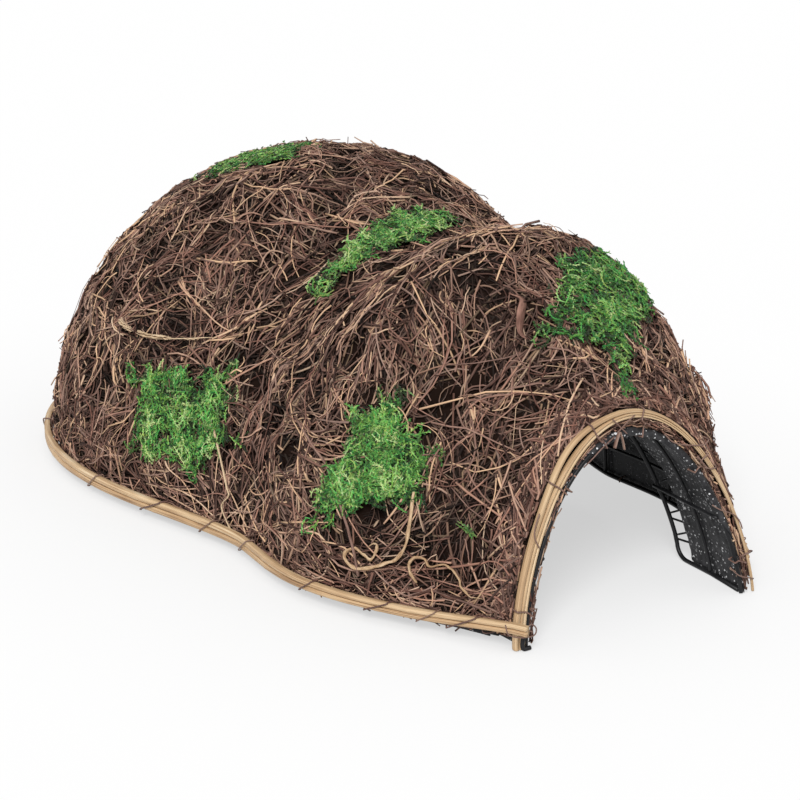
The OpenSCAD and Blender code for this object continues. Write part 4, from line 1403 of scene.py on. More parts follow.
    def build(self) -> None:
        """Builds the beds and the twigs."""
        self.painted_shade_bed_finish = self.finishes.bed.build()
        twig = self.finishes.twig.build()
        for chamber in Chamber:
            self.bed(chamber)
        self.rng = np.random.default_rng(self.seed)
        laid = [self.lay_lot(lot) for lot in self.lots] + [self.lay_flakes(), self.lay_skirt()]
        middles = [paths[:, paths.shape[1] // 2, 1] for paths, *_ in laid]
        cuts = np.quantile(np.concatenate(middles), np.linspace(0, 1, self.pieces + 1))
        for i, (a, b) in enumerate(zip(cuts[:-1], cuts[1:])):
            strands = Strands(f"brushwood_twigs_{i + 1}", 4)
            for lot, middle in zip(laid, middles):
                chosen = (middle >= a) & ((middle < b) | (i == self.pieces - 1))
                strands.add(*(values[chosen] for values in lot))
            if i == 0:
                strands.add(*self.lay_collar())
                strands.add(*self.lay_jamb())
                leaf = FORM.skin_path(self.leaf, 0.6, 4)
                strands.one(leaf, 4.6 * np.sin(np.linspace(0.3, 3.0, len(leaf))), 0.45, 0.1)
            strands.build(twig, Slot.BRUSHWOOD)


def bend_wire(material: bpy.types.Material, name: str, d: float, *paths: Array) -> None:
    """Bends a black wire.

    Args:
        material: Its finish.
        name: Name of the CAD node that it stands for.
        d: Its diameter.
        paths: Its lengths.
    """
    strands = Strands(name + "_wire", 12)
    for path in paths:
        strands.one(path, d / 2)
    strands.build(material, Slot.BLACK_WIRE, name)


@dataclass
class WireFrame:
    """The black wire frame of the chambers."""

    finishes: Finishes
    hoop_d: float = 3.0
    rail_d: float = 2.6
    hoop_low: float = 3.7
    belt_z: float = 28.0
    hoops: tuple = (("front_hoop", 176.0), ("waist_hoop", 256.0), ("neck_hoop", 352.0), ("main_hoop", 458.0))
    rib_angle: float = 52.0
    ring_at: float = 24.0
    belt_at: float = 95.2
    first_turn: float = 10.4

    def ridge(self) -> Array:
        """The ridge wire's path, under the hoops and down at the rear.

        Returns:
            The path.
        """
        over = FORM.section(np.linspace(30, FORM.rear_at, 90), 90, FORM.rail_layer, self.hoop_low)
        a = FORM.length - FORM.rail_layer[2] - FORM.rear_top_at
        h = FORM.rear_top - FORM.rail_layer[2]
        z = self.belt_z + self.rail_d * 0.75
        y = FORM.rear_top_at + a * math.sqrt(1 - (z / h) ** 2) - FORM.rear_at
        last = math.degrees(math.atan2(y, z - self.hoop_low))
        down = FORM.slice_point(np.linspace(0, last, 40)[1:], 90, FORM.rail_layer, self.hoop_low)
        return np.vstack([over, down])

    def belt(self) -> Array:
        """The belt wire's path, round inside the hoops at one height.

        Returns:
            The path.
        """
        low, layer = self.hoop_low, FORM.rail_layer
        s = np.linspace(self.belt_at, FORM.rear_at, 70)
        foot = FORM.section(s, 180, layer, low)
        above = FORM.section(s, 180 - self.first_turn, layer, low)
        side = mix(foot, above, ((self.belt_z - low) / (above[:, 2] - low))[:, None])
        turn = np.linspace(180 - self.rib_angle * 0.8, 90, 30)
        tips = 90 * 6 / 7
        foot = FORM.slice_point(90, turn, layer, low)
        above = FORM.slice_point(tips, turn, layer, low)
        rear = mix(foot, above, ((self.belt_z - low) / (above[:, 2] - low))[:, None])
        corner_y = rear[0, 1] - FORM.rear_at
        tip = np.degrees(np.arctan2(np.linspace(0, corner_y, 14)[1:-1], self.belt_z - low))
        reach = FORM.reach(np.radians(tip), layer, low) * np.cos(np.radians(tip))
        rise = np.clip(((self.belt_z - low) / reach) ** (FORM.rear_full / 2), 0, 1)
        turns = 180 - np.degrees(np.arcsin(rise))
        left = np.vstack([side, FORM.slice_point(tip, turns, layer, low), rear])
        return np.vstack([left, left[-2::-1] * [-1, 1, 1]])

    def build(self) -> None:
        """Builds the ring, hoops, ribs, ridge and belt."""
        wire = self.finishes.wire.build()
        ring = FORM.plan_path(self.ring_at, FORM.ring_layer, FORM.ring_d / 2)
        ring[:, 2] += FORM.ring_lift * FORM.lift_at(ring[:, 1])
        bend_wire(wire, "ground_ring", FORM.ring_d, ring)
        for name, s in self.hoops:
            path = FORM.section(s, np.linspace(0, 180, 91), FORM.hoop_layer, self.hoop_low)
            bend_wire(wire, name, self.hoop_d, path)
        for side in Side:
            turn = 90 - side.value * (90 - self.rib_angle)
            path = FORM.slice_point(np.linspace(1, 90, 50), turn, FORM.hoop_layer, self.hoop_low)
            bend_wire(wire, f"rear_rib_{side.name.lower()}", self.hoop_d, path)
        bend_wire(wire, "ridge_wire", self.rail_d, self.ridge())
        bend_wire(wire, "belt_wire", self.rail_d, self.belt())


@dataclass
class EntranceTunnel:
    """The entrance's wire tunnel: hoops, runners, rails, lacing and its black lining."""

    finishes: Finishes
    inner: ArchSize = ArchSize(98.1, 142.0, 1.25)
    outer_at: float = 2.5
    inner_at: float = 80.0
    rail_d: float = 2.6
    lacing_d: float = 1.6
    foot: float = 0.8
    low: float = 3.8
    rail_z: float = 60.0
    bend: float = 12.0
    weld: float = 0.2
    lining_at: float = 7.4
    lining_end: float = 66.0
    lining_out: float = 2.9
    lining_t: float = 0.6
    lining_low: float = 1.4
    hook: tuple = ((-95.5, 14), (-97.6, 6), (-96.8, 2.2), (-91.5, 2.0))
    crown_turn: float = 42.0
    crown_end: float = 81.5
    hem_turn: float = 110.0
    hem_r: float = 2.35
    lace_turns: tuple = (14, 23, 34, 47, 61)
    seed: int = 31

    def size(self, s: Number, low: float) -> ArchSize:
        """The tunnel's arch at a station.

        Args:
            s: The station.
            low: Height of the arch's feet.

        Returns:
            The arch.
        """
        a, b = FORM.door_hoop, self.inner
        f = (s - self.outer_at) / (self.inner_at - self.outer_at)
        return ArchSize(mix(a.half_w, b.half_w, f), mix(a.height, b.height, f), mix(a.full, b.full, f), low)

    def place(self, s: float, turn: Number, out: Number, low: float) -> Array:
        """Points round the tunnel at a station."""
        return FORM.arch(turn, self.size(s, low), out, s)

    def turn_at(self, s: float, z: float) -> float:
        """The turn at which the tunnel's wall reaches a height."""
        size = self.size(s, 0)
        return math.degrees(math.asin((z / size.height) ** (size.full / 2)))

    def inner_path(self) -> Array:
        """The inner hoop with its two runners, one bent wire.

        Returns:
            The path.
        """
        z = FORM.door_wire_d / 2 + self.weld
        first = self.turn_at(self.inner_at, self.bend + z)
        hoop = self.place(self.inner_at, np.linspace(first, 180 - first, 81), 0.0, 0.0)
        run_s = self.outer_at + FORM.door_wire_d + self.weld
        corner = hoop[0] - [0, self.bend, 0]
        c = np.radians(np.linspace(0, 80, 9))[:, None]
        turn_up = [corner[0], corner[1], z] + self.bend * np.hstack([0 * c, np.sin(c), 1 - np.cos(c)])
        start = np.array([[self.size(run_s, 0).half_w - 0.3, run_s, z]])
        half = self.inner_at / 2
        right = np.vstack([start, [[self.size(half, 0).half_w, half, z]], turn_up])
        return np.vstack([right, hoop[2:-2], right[::-1] * [-1, 1, 1]])

    def lining(self) -> bpy.types.Object:
        """The black sheet over the hoops, creased along its length and folded round the entrance hoop.

        Returns:
            The piece.
        """
        rng = np.random.default_rng(self.seed)
        turn = np.linspace(0, 180, 181)
        crease = wander(rng, 181, 46) * 0.5 + wander(rng, 181, 90) * 0.3
        slack = (0.6 + 0.4 * wander(rng, 181, 14)) * 2.4
        crown = np.clip((np.minimum(turn, 180 - turn) - self.crown_turn) / 8, 0, 1)
        end = mix(self.lining_end, self.crown_end, crown) + 0.6 * wander(rng, 181, 40)
        folded = np.clip((self.hem_turn - turn) / 6, 0, 1) * np.clip((turn - 24) / 12, 0, 1)
        rows = []
        for fold in np.linspace(0, 1, 12):
            angle = np.radians(mix(mix(70, -150, folded), 90, fold))
            out, s = self.hem_r * np.sin(angle), self.outer_at - self.hem_r * np.cos(angle)
            rows.append(self.place(s, turn, out, mix(self.foot, self.lining_low, fold)))
        middle = (self.outer_at + self.inner_at) / 2
        for f in np.linspace(0, 1, 40):
            s = mix(self.lining_at, end, f)
            near = np.abs(np.sin(math.pi * (s - self.outer_at) / (middle - self.outer_at)))
            drift = wander(rng, 181, 24) * 0.4
            out = self.lining_out + (crease + drift - slack) * near * 0.9 - 0.1
            rows.append(self.place(s, turn, out, self.lining_low))
        mid = np.stack(rows)
        normal = unit(np.cross(np.gradient(mid, axis=0), np.gradient(mid, axis=1)))
        outer, inner = mid + normal * self.lining_t / 2, mid - normal * self.lining_t / 2
        piece = band_solid("tunnel_lining", outer, inner).build(self.sheet, Slot.LINING, "tunnel_liner")
        length, girth = steps(mid).sum(0), steps(mid, 1).sum(1)
        return piece

    def build(self) -> None:
        """Builds the hoops, rails, lacing and lining."""
        wire = self.finishes.wire.build()
        self.sheet = self.finishes.lining.build()
        turn, d = np.linspace(0, 180, 121), FORM.door_wire_d
        middle = (self.outer_at + self.inner_at) / 2
        hook = FORM.entrance_path(self.hook, -1.5)
        bend_wire(wire, "entrance_hoop", d, self.place(self.outer_at, turn, 0.0, self.foot), hook)
        bend_wire(wire, "tunnel_middle_hoop", self.rail_d, self.place(middle, turn, 0.0, self.low))
        bend_wire(wire, "tunnel_inner_hoop", d, self.inner_path())
        inward = -(d / 2 / math.cos(math.pi / 6) + self.weld + self.rail_d / 2)
        stations = self.outer_at, self.inner_at
        ends = [self.place(s, self.turn_at(s, self.rail_z), inward, 0.0) for s in stations]
        for side in Side:
            path = mix(*ends, np.linspace(0, 1, 12)[:, None]) * [side.value, 1, 1]
            bend_wire(wire, f"tunnel_rail_{side.name.lower()}", self.rail_d, path)
        lacing = Strands("tunnel_lacing_wires", 8)
        on_lining = 3.1 + self.lacing_d / 2 + 2 * self.weld
        on_hoop = FORM.door_wire_d / 2 + self.lacing_d / 2 + self.weld
        lap = 2 * self.lacing_d
        for side in Side:
            for t in self.lace_turns:
                for step in (-3, 3):
                    a = self.place(self.lining_end - lap, t + step, on_lining, self.low)
                    b = self.place(self.inner_at + lap, t + step / 3, on_hoop, 0.0)
                    path = mix(a, b, np.linspace(0, 1, 6)[:, None]) * [side.value, 1, 1]
                    lacing.one(path, self.lacing_d / 2)
        lacing.build(wire, Slot.BLACK_WIRE, "tunnel_lacing")
        self.lining()


@dataclass
class ChamberLinings:
    """Black sheets between the hoops and the brushwood."""

    finishes: Finishes
    thick: float = 0.8
    front_from: float = 30.0
    low: float = 1.6
    seed: int = 41

    def build(self) -> None:
        """Builds the two sheets, each with shallow wrinkles between the hoops."""
        sheet = self.finishes.lining.build()
        for chamber in Chamber:
            rng = np.random.default_rng(self.seed + len(chamber.value))
            s = FORM.stations(chamber, self.front_from, (60, 50, 40))[:, None]
            turn = np.linspace(0, 180, 121)[None]
            out, inn = (FORM.skin(s, turn, layer, self.low) for layer in (FORM.liner_out, FORM.liner_in))
            fold = np.stack([wander(rng, 121, 30) for _ in s]) * 0.12 + wander(rng, 121, 26)[None] * 0.13
            edge = self.thick / 1.5 / 2
            outer = mix(out, inn, (0.5 + fold - edge)[..., None])
            inner = mix(out, inn, (0.5 + fold + edge)[..., None])
            name = f"{chamber.value}_lining"
            piece = band_solid(name, outer, inner).build(sheet, Slot.LINING, f"{chamber.value}_liner")
            mid = mix(out, inn, 0.5)
            a, b = mid[1:, :-1] - mid[:-1, :-1], mid[:-1, 1:] - mid[:-1, :-1]
            area = np.linalg.norm(np.cross(a, b), axis=-1).sum() * MILLIMETRE**2
            girth = steps(mid, 1).sum(1).max() * MILLIMETRE
            run = steps(mid).sum(0).max() * MILLIMETRE


@dataclass
class Canes:
    """The split canes: two round the rim and three round the entrance arch."""

    finishes: Finishes
    cane_h: float = 4.8
    rim_past: float = 10.0
    rim_short: float = 28.0
    straight_at: float = 14.0
    arch_ts: tuple = (("outer", 0.0, 3.2, 1.0), ("middle", 3.5, 2.3, 0.0), ("inner", 6.1, 2.1, 0.0))
    seed: int = 53

    @staticmethod
    def profile() -> Array:
        """Section of a split cane as shares of its depth and breadth: flat behind, rounded in front.

        Returns:
            The section's points.
        """
        a = np.radians(np.linspace(-90, 90, 13))
        front = np.stack([0.4 - 0.4 * np.cos(a) ** 0.6, 0.5 + 0.5 * np.sin(a)], -1)
        back = [[0.9, 0.99], [1.0, 0.92], [1.0, 0.7], [1.0, 0.5], [1.0, 0.3], [1.0, 0.08], [0.9, 0.01]]
        return np.vstack([front, back])

    def sweep(self, name: str, rings: Array, tone: float) -> None:
        """A cane through rings of points.

        Args:
            name: Name of the CAD node that it stands for.
            rings: Rings of points along the cane.
            tone: How light it is.
        """
        k, m = rings.shape[:2]
        ids = np.arange(k * m).reshape(k, m)
        after = np.roll(ids, -1, 1)
        quads = np.stack([ids[:-1], after[:-1], after[1:], ids[1:]], -1).reshape(-1, 4)
        u, v = np.meshgrid(np.linspace(0.01, 0.99, m + 1), np.linspace(0.06, 0.99, k))
        grid = np.stack([u, v], -1)
        uv = np.stack([grid[:-1, :-1], grid[:-1, 1:], grid[1:, 1:], grid[1:, :-1]], -2)
        flat = self.profile() * [0.3, 0.04]
        along = np.concatenate([[0], np.cumsum(steps(rings[:, 0]))])
        values = {
            Value.ALONG: np.repeat(along, m),
            Value.AROUND: np.tile(np.arange(m) / m, k),
            Value.TONE: np.full(k * m, tone),
            Value.DEPTH: np.zeros(k * m),
        }
        solid = Solid(name + "_split")
        caps = [flat + [0.02, 0.005], flat + [0.5, 0.005]]
        solid.add(rings.reshape(-1, 3), [quads, ids[:1, ::-1], ids[-1:]], [uv, *caps], values)
        solid.build(self.material, Slot.CANE, name)

    def knots(self, rng: np.random.Generator, count: int, length: float) -> Array:
        """How far a cane swells along its length, at its knots and between them.

        Args:
            rng: Source of the random draws.
            count: Number of rings.
            length: Length of the cane.

        Returns:
            The swelling in millimetres.
        """
        at = np.linspace(0, length, count)
        swell = 0.12 * wander(rng, count, max(6, int(length / 30)))
        for k in np.arange(rng.uniform(40, 120), length, 170):
            k = k + rng.uniform(-25, 25)
            swell = swell + 0.32 * np.exp(-(((at - k) / 4) ** 2)) - 0.2 * np.exp(-(((at - k - 3) / 1.5) ** 2))
        return swell

    def build(self) -> None:
        """Builds the rim canes and the arch canes."""
        self.material = self.finishes.cane.build()
        profile = self.profile()
        rng = np.random.default_rng(self.seed)
        heights = FORM.rim_low, FORM.rim_low + self.cane_h + FORM.fit
        for name, z, tone in zip(("lower", "upper"), heights, (0.35, 0.6)):
            path = FORM.plan_path(-self.rim_past, FORM.rim_face, z, 300)
            path = path[(path[:, 0] < 0) | (path[:, 1] > self.rim_short)]
            marks = np.array([self.straight_at, self.straight_at + 6])
            bend, on = FORM.plan_side(marks, FORM.rim_face, z)[:, :2]
            end = (path[:, 0] < 0) & (path[:, 1] < self.straight_at)
            path[end, 0] = bend[0] + (on - bend)[0] / (on - bend)[1] * (path[end, 1] - bend[1])
            run = unit(np.gradient(path, axis=0))
            inward = np.cross(run, [0, 0, 1.0])
            swell = self.knots(rng, len(path), steps(path).sum())[:, None]
            depth = profile[None, :, 0] * FORM.cane_t - swell * (1 - profile[None, :, 0])
            height = 0.5 + (profile[None, :, 1] - 0.5) * (1 + swell * 0.12)
            rings = path[:, None] + inward[:, None] * depth[..., None]
            rings[..., 2] = FORM.rim_z(rings[..., 2] + height * self.cane_h, path[:, 1:2])
            rings[..., 2] += FORM.lift_at(path[:, 1:2])
            self.sweep(f"rim_cane_{name}", rings, tone)
        turn = np.linspace(0, 180, 200)
        for (name, depth, t, spring), tone in zip(self.arch_ts, (0.45, 0.6, 0.8)):
            lifted = spring * FORM.sprung(turn)
            swell = self.knots(rng, len(turn), 430.0) * 0.6
            under = (depth + profile[None, :, 0] * t) * FORM.cane_share(turn)[:, None]
            out = lifted[:, None] - under + swell[:, None] * (1 - profile[None, :, 0])
            back = profile[None, :, 1] * FORM.arch_depth * FORM.cane_share(turn)[:, None] ** 0.8
            rings = FORM.arch(np.repeat(turn[:, None], len(profile), 1), FORM.door_arch, out, back)
            self.sweep(f"arch_cane_{name}", rings, tone)


@dataclass
class Binding:
    """The brown binding wire: ties round the rim and round the arch, and their loose ends."""

    finishes: Finishes
    tie_d: float = 1.2
    slant: float = 8.0
    tail: float = 6.0
    marks: tuple = (49, 83, 132, 216, 347, 417, 505, 612)
    rear_turns: tuple = (30, 60, 90, 120, 150)
    arch_turns: tuple = (16, 50, 82, 106, 128, 164)
    seed: int = 59
    loose: tuple = (
        (-2.0, ((-14.1, 145.8), (-8.8, 140.2), (-2.7, 133.9))),
        (-2.0, ((4.5, 145.6), (-2.2, 141.8), (-10.7, 135.9))),
        (-1.0, ((-12.5, 133.3), (-22.5, 127.7), (-30.9, 121.9), (-39.3, 116.7))),
        (-1.0, ((29.6, 128.0), (35.9, 121.5), (45.6, 117.5), (62.3, 114.5), (67.8, 117.5))),
        (-1.0, ((56.8, 107.6), (65.5, 97.4), (72.3, 96.6))),
        (-1.5, ((67.5, 70.7), (74.4, 66.0), (86.1, 60.3), (91.0, 54.5), (93.1, 48.9))),
        (-1.5, ((80.7, 23.0), (88.9, 15.3), (101.2, 10.8))),
        (-1.5, ((-77.6, 92.1), (-81.8, 83.0), (-82.6, 76.5), (-79.5, 68.6))),
        (-9.0, ((-115.1, 25.3), (-112.8, 18.1), (-103.0, 14.0), (-92.9, 13.4), (-90.7, 17.8), (-94.5, 21.5),
                (-97.3, 18.4), (-93.5, 15.7))),
    )
    flat_tails: tuple = (
        (-2.5, ((-9.4, 136.5), (-11.8, 131.6), (-14.1, 126.0))),
        (-2.5, ((-8.9, 136.4), (-7.0, 130.1), (-6.1, 123.6))),
    )

    def route(self) -> Array:
        """Places of a rim tie: share of the way to the ring, further inward, height, lift and slant.

        Returns:
            One row for each place.
        """
        d, ring, low, top, cane = self.tie_d, FORM.ring_d, FORM.rim_low, FORM.rim_top, FORM.cane_t
        out = FORM.fit + d / 2
        hook = ring / 2 + out + FORM.fit
        back = cane + out + FORM.fit / 2
        return np.array(
            [
                [1, hook, ring / 4, 0, -1],
                [1, hook, ring, 0, -1],
                [1, 0, ring + out + FORM.fit, 0, -1],
                [0.6, 0, (ring + low) / 2, 0, -1],
                [0, back, low - out, 0, -1],
                [0, back, top, 1, -1],
                [0, cane - d / 2, top + out, 1, -0.95],
                [0, d / 2, top + out, 1, -0.8],
                [0, -out, top - d / 2, 1, -0.65],
                [0, -out, low + d / 2, 0, 0.75],
                [0, d / 2, low - out, 0, 0.9],
                [0, cane, low - out, 0, 1],
                [1, -ring - out, ring, 0, 1],
                [1, -hook, ring / 2, 0, 1],
            ]
        )

    def rim_ties(self) -> Strands:
        """Ties round the rim.

        Returns:
            The strands.
        """
        route = self.route()
        ties = Strands("rim_ties_wire", 8)

        def tie(face: Array, ring: Array, run: Array, lift: Array) -> Array:
            """A tie's path from the rim's face, the ring, the rim's direction and its lift at each place.

            Args:
                face: Places on the rim's face.
                ring: Places on the ground ring.
                run: The rim's direction at each place.
                lift: The rim's lift at each place.

            Returns:
                The path.
            """
            path = mix(face, ring, route[:, :1]) + np.cross(run, [0, 0, 1.0]) * route[:, 1:2]
            height = np.where(route[:, 0] == 0, FORM.rim_z(route[:, 2], face[:, 1]), route[:, 2])
            path[:, 2] += height + (route[:, 3] + route[:, 0] * FORM.ring_lift) * lift
            return smooth_path(path, 5)

        rng = np.random.default_rng(self.seed)
        for mark in self.marks:
            s = mark * FORM.length / 1000 + route[:, 4] * self.slant * rng.uniform(0.7, 1.9)
            run = unit(FORM.plan_side(s + 1, FORM.rim_face, 0) - FORM.plan_side(s - 1, FORM.rim_face, 0))
            face, ring = (FORM.plan_side(s, layer, 0) for layer in (FORM.rim_face, FORM.ring_layer))
            path = tie(face, ring, run, FORM.lift_at(s))
            for side in Side:
                radius = self.tie_d / 2 * rng.uniform(0.75, 1.0)
                ties.one(path * [-side.value, 1, 1], radius, rng.uniform(0.3, 0.7))
        for turn in self.rear_turns:
            t = turn - route[:, 4] * math.degrees(self.slant / FORM.rear_half_w)
            run = unit(FORM.plan_rear(t - 1, FORM.rim_face, 0) - FORM.plan_rear(t + 1, FORM.rim_face, 0))
            face, ring = (FORM.plan_rear(t, layer, 0) for layer in (FORM.rim_face, FORM.ring_layer))
            ties.one(tie(face, ring, run, 0 * t), self.tie_d / 2, 0.55)
        return ties

    def hoop_depth(self, turn: float) -> float:
        """Depth of the entrance hoop under the arch, square to the arch.

        Args:
            turn: Turn round the arch.

        Returns:
            The depth.
        """
        arch = FORM.door_arch
        run = unit(arch.flat(np.array(turn + 0.5)) - arch.flat(np.array(turn - 0.5)))
        v = arch.flat(np.array(turn)) - FORM.door_hoop.flat(np.arange(0, 181, 2))
        return float((v @ np.array([run[1], -run[0]]))[np.abs(v @ run) < 6].min())

    def arch_ties(self) -> Strands:
        """Ties round the arch canes and the entrance hoop.

        Returns:
            The strands.
        """
        ties = Strands("arch_ties_wire", 8)
        d = self.tie_d
        out = FORM.fit + d / 2
        for turn in self.arch_turns:
            inner = self.hoop_depth(turn) + FORM.door_wire_d / 2 + out + FORM.fit
            spring = FORM.sprung(turn)
            front, back, bundle = -out, FORM.arch_depth + out, FORM.arch_bundle
            places = np.array(
                [
                    [bundle, front - self.tail, -d],
                    [bundle + d, front, -d],
                    [inner - d / 2, front, -d],
                    [inner, front + d / 2, -d],
                    [inner, back - d / 2, -d / 2],
                    [inner - d / 2, back, -d / 3],
                    [-spring, back, d / 3],
                    [-spring - out, back - d / 2, d / 2],
                    [-spring - out, front + d / 2, d],
                    [-spring, front, d],
                    [bundle - d, front, d],
                    [bundle, front - self.tail, 2 * d],
                ]
            )
            turns = np.full(len(places), turn)
            path = FORM.arch(turns, FORM.door_arch, -places[:, 0], places[:, 1], places[:, 2])
            ties.one(smooth_path(path, 5), d / 2, 0.5)
        for s, places in self.loose:
            ties.one(FORM.entrance_path(places, s), d * 0.42, 0.5)
        for tone, (s, places) in zip((0.75, 0.95), self.flat_tails):
            ties.one(FORM.entrance_path(places, s), 1.5, tone, 0.25)
        return ties

    def build(self) -> None:
        """Builds the ties."""
        material = self.finishes.binding.build()
        self.rim_ties().build(material, Slot.BINDING, "rim_ties")
        self.arch_ties().build(material, Slot.BINDING, "arch_ties")


@dataclass(frozen=True)
class MossPatch:
    """A cushion of moss inside an outline of stations and turns."""

    node: str
    outline: tuple[tuple[float, float], ...]
    yellow: float = 0.0
    tongues: int = 16
    thick: float = 5.0
    grain: tuple = ((200.0, 150.0), (200.0, 170.0))
    spread: float = 1.6


@dataclass
class Moss:
    """Dyed moss: curly fronds with leaflets, laid in ragged cushions on the brushwood."""

    skin: Skin
    finishes: Finishes
    fronds_per_mm2: float = 0.26
    most: int = 1000
    spill: float = 1.24
    seed: int = 67
    patches: tuple[MossPatch, ...] = (
        MossPatch(
            "moss_rear_side",
            ((400, 157), (387, 153), (356, 151), (333, 151), (305, 145), (292, 150), (297, 155), (271, 158),
             (296, 164), (305, 168), (310, 172), (322, 170), (364, 169), (372, 175), (382, 169), (395, 163)),
        ),
        MossPatch(
            "moss_saddle",
            ((287, 120), (291, 112), (302, 97), (312, 91), (309, 86), (304, 78), (304, 74), (289, 84),
             (279, 93), (281, 101), (279, 113), (279, 120)),
        ),
        MossPatch(
            "moss_front_top",
            ((109, 84), (132, 75), (150, 65), (150, 58), (137, 50), (102, 52), (56, 68), (32, 77), (16, 84),
             (27, 86), (40, 86), (43, 95), (53, 102), (63, 104), (70, 96), (86, 90)),
            yellow=-0.1,
        ),
        MossPatch(
            "moss_front_side",
            ((127, 139), (112, 138), (94, 142), (74, 142), (74, 148), (78, 153), (91, 155), (111, 159),
             (132, 163), (143, 167), (158, 167), (153, 159), (135, 152), (133, 147), (142, 145)),
            yellow=-0.02,
        ),
        MossPatch(
            "moss_crest",
            ((492, 112), (479, 105), (471, 99), (451, 93), (438, 92), (422, 100), (445, 107), (466, 112)),
            thick=2.4,
        ),
        MossPatch(
            "moss_sprig",
            ((47, 153), (43, 153.4), (40, 154), (40, 154.6), (43, 154.2), (47, 153.8)),
            tongues=0,
            thick=1.5,
            grain=((52.0, 152.5), (32.0, 155.8)),
            spread=0.12,
        ),
    )

    @staticmethod
    def inside(places: Array, outline: Array) -> Array:
        """Which places lie inside an outline.

        Args:
            places: Stations and turns.
            outline: The outline's corners.

        Returns:
            True for each place that does.
        """
        found = np.zeros(len(places), bool)
        for (ax, ay), (bx, by) in zip(outline, np.roll(outline, -1, 0)):
            crosses = (ay > places[:, 1]) != (by > places[:, 1])
            at = ax + (places[:, 1] - ay) / (by - ay + 1e-12) * (bx - ax)
            found ^= crosses & (places[:, 0] < at)
        return found

    def roots(self, rng: np.random.Generator, patch: MossPatch) -> tuple[Array, ...]:
        """Places of a cushion's fronds: uneven at its edge, with gaps and with tongues that stray outward.

        Args:
            rng: Source of the random draws.
            patch: The cushion.

        Returns:
            Stations and turns, how thick the cushion is there and how yellow.
        """
        outline = np.array(patch.outline, float)
        corner = FORM.over_skin(outline[:, 0], outline[:, 1], 0.0)
        fan = corner - corner.mean(0)
        area = np.linalg.norm(np.cross(fan, np.roll(fan, -1, 0)), axis=-1).sum() / 2
        tries = rng.uniform(outline.min(0), outline.max(0), (26000, 2))
        phase = rng.uniform(0, 6.3, 4)
        s, turn = tries.T
        lump = np.sin(s / 5.3 + phase[0] + turn / 4) + np.sin(turn / 1.5 + phase[1] - s / 11)
        shift = np.stack([3.5 * np.sin(turn / 0.9 + phase[2]), 0.9 * np.sin(s / 3 + phase[3])], -1)
        ragged = mix(outline.mean(0), tries + shift, self.spill)
        ragged = ragged + rng.normal(0, 1, tries.shape) * [2.0, 0.6]
        kept = self.inside(ragged, outline) & (lump > rng.normal(-1.25, 0.3, len(tries)))
        count = int(np.clip(area * self.fronds_per_mm2, 3, self.most))
        chosen = rng.choice(np.flatnonzero(kept), count)
        places, swell = tries[chosen], lump[chosen]
        start = outline[rng.integers(0, len(outline), patch.tongues)]
        outward = unit((start - outline.mean(0)) * [1, 3.2]) / [1, 3.2]
        for a, way in zip(start, outward):
            strayed = a + way * rng.uniform(-10, 4, (5, 1))
            places = np.vstack([places, strayed + rng.normal(0, 1, (5, 2)) * [1.5, 0.5]])
        strays = len(places) - count
        places[:, 1] = np.clip(places[:, 1], 4, 176)
        share = np.concatenate([np.clip(0.62 + 0.22 * swell, 0.3, 1.0), np.full(strays, 0.3)])
        yellow = patch.yellow + 0.09 * np.concatenate([swell, np.zeros(strays)])
        return places, patch.thick * share, yellow

    def cushion(self, index: int, patch: MossPatch) -> Strands:
        """The fronds and leaflets of one cushion.

        Args:
            index: Number of the cushion.
            patch: The cushion.

        Returns:
            The strands.
        """
        rng = np.random.default_rng(self.seed + index)
        places, thick, yellow = self.roots(rng, patch)
        on, normal = self.skin.nearest(FORM.over_skin(places[:, 0], places[:, 1], 0.0))
        n, k = len(on), 7
        aim = np.array(patch.grain)
        way = np.diff(FORM.over_skin(aim[:, 0], aim[:, 1], 0.0), axis=0)
        e1 = unit(way - normal * np.sum(way * normal, -1, keepdims=True))
        e2 = np.cross(normal, e1)
        turn = (rng.normal(0, 0.22, (n, k)) + rng.normal(0, 0.22, n)[:, None]) * min(1, patch.spread)
        first = rng.normal(0, patch.spread, n) + np.pi * rng.integers(0, 2, n)
        angles = first[:, None] + np.cumsum(turn, 1)
        step = rng.uniform(1.5, 3.1, n)[:, None, None]
        move = (np.cos(angles)[..., None] * e1[:, None] + np.sin(angles)[..., None] * e2[:, None]) * step
        paths = on[:, None] + np.cumsum(move, 1) - move.sum(1, keepdims=True) / 2
        share = rng.uniform(0.0, 1.0, n)
        tilt = rng.normal(0.8, 1.2, n)[:, None] * np.linspace(-0.5, 1, k)[None]
        height = np.clip((share * thick)[:, None] + tilt + rng.normal(0, 0.3, (n, k)), 0.3, 8.0)
        flat, up = self.skin.nearest(paths)
        paths = flat + up * height[..., None]
        tone = np.clip(rng.normal(0.5, 0.2, n) + yellow, 0, 1)
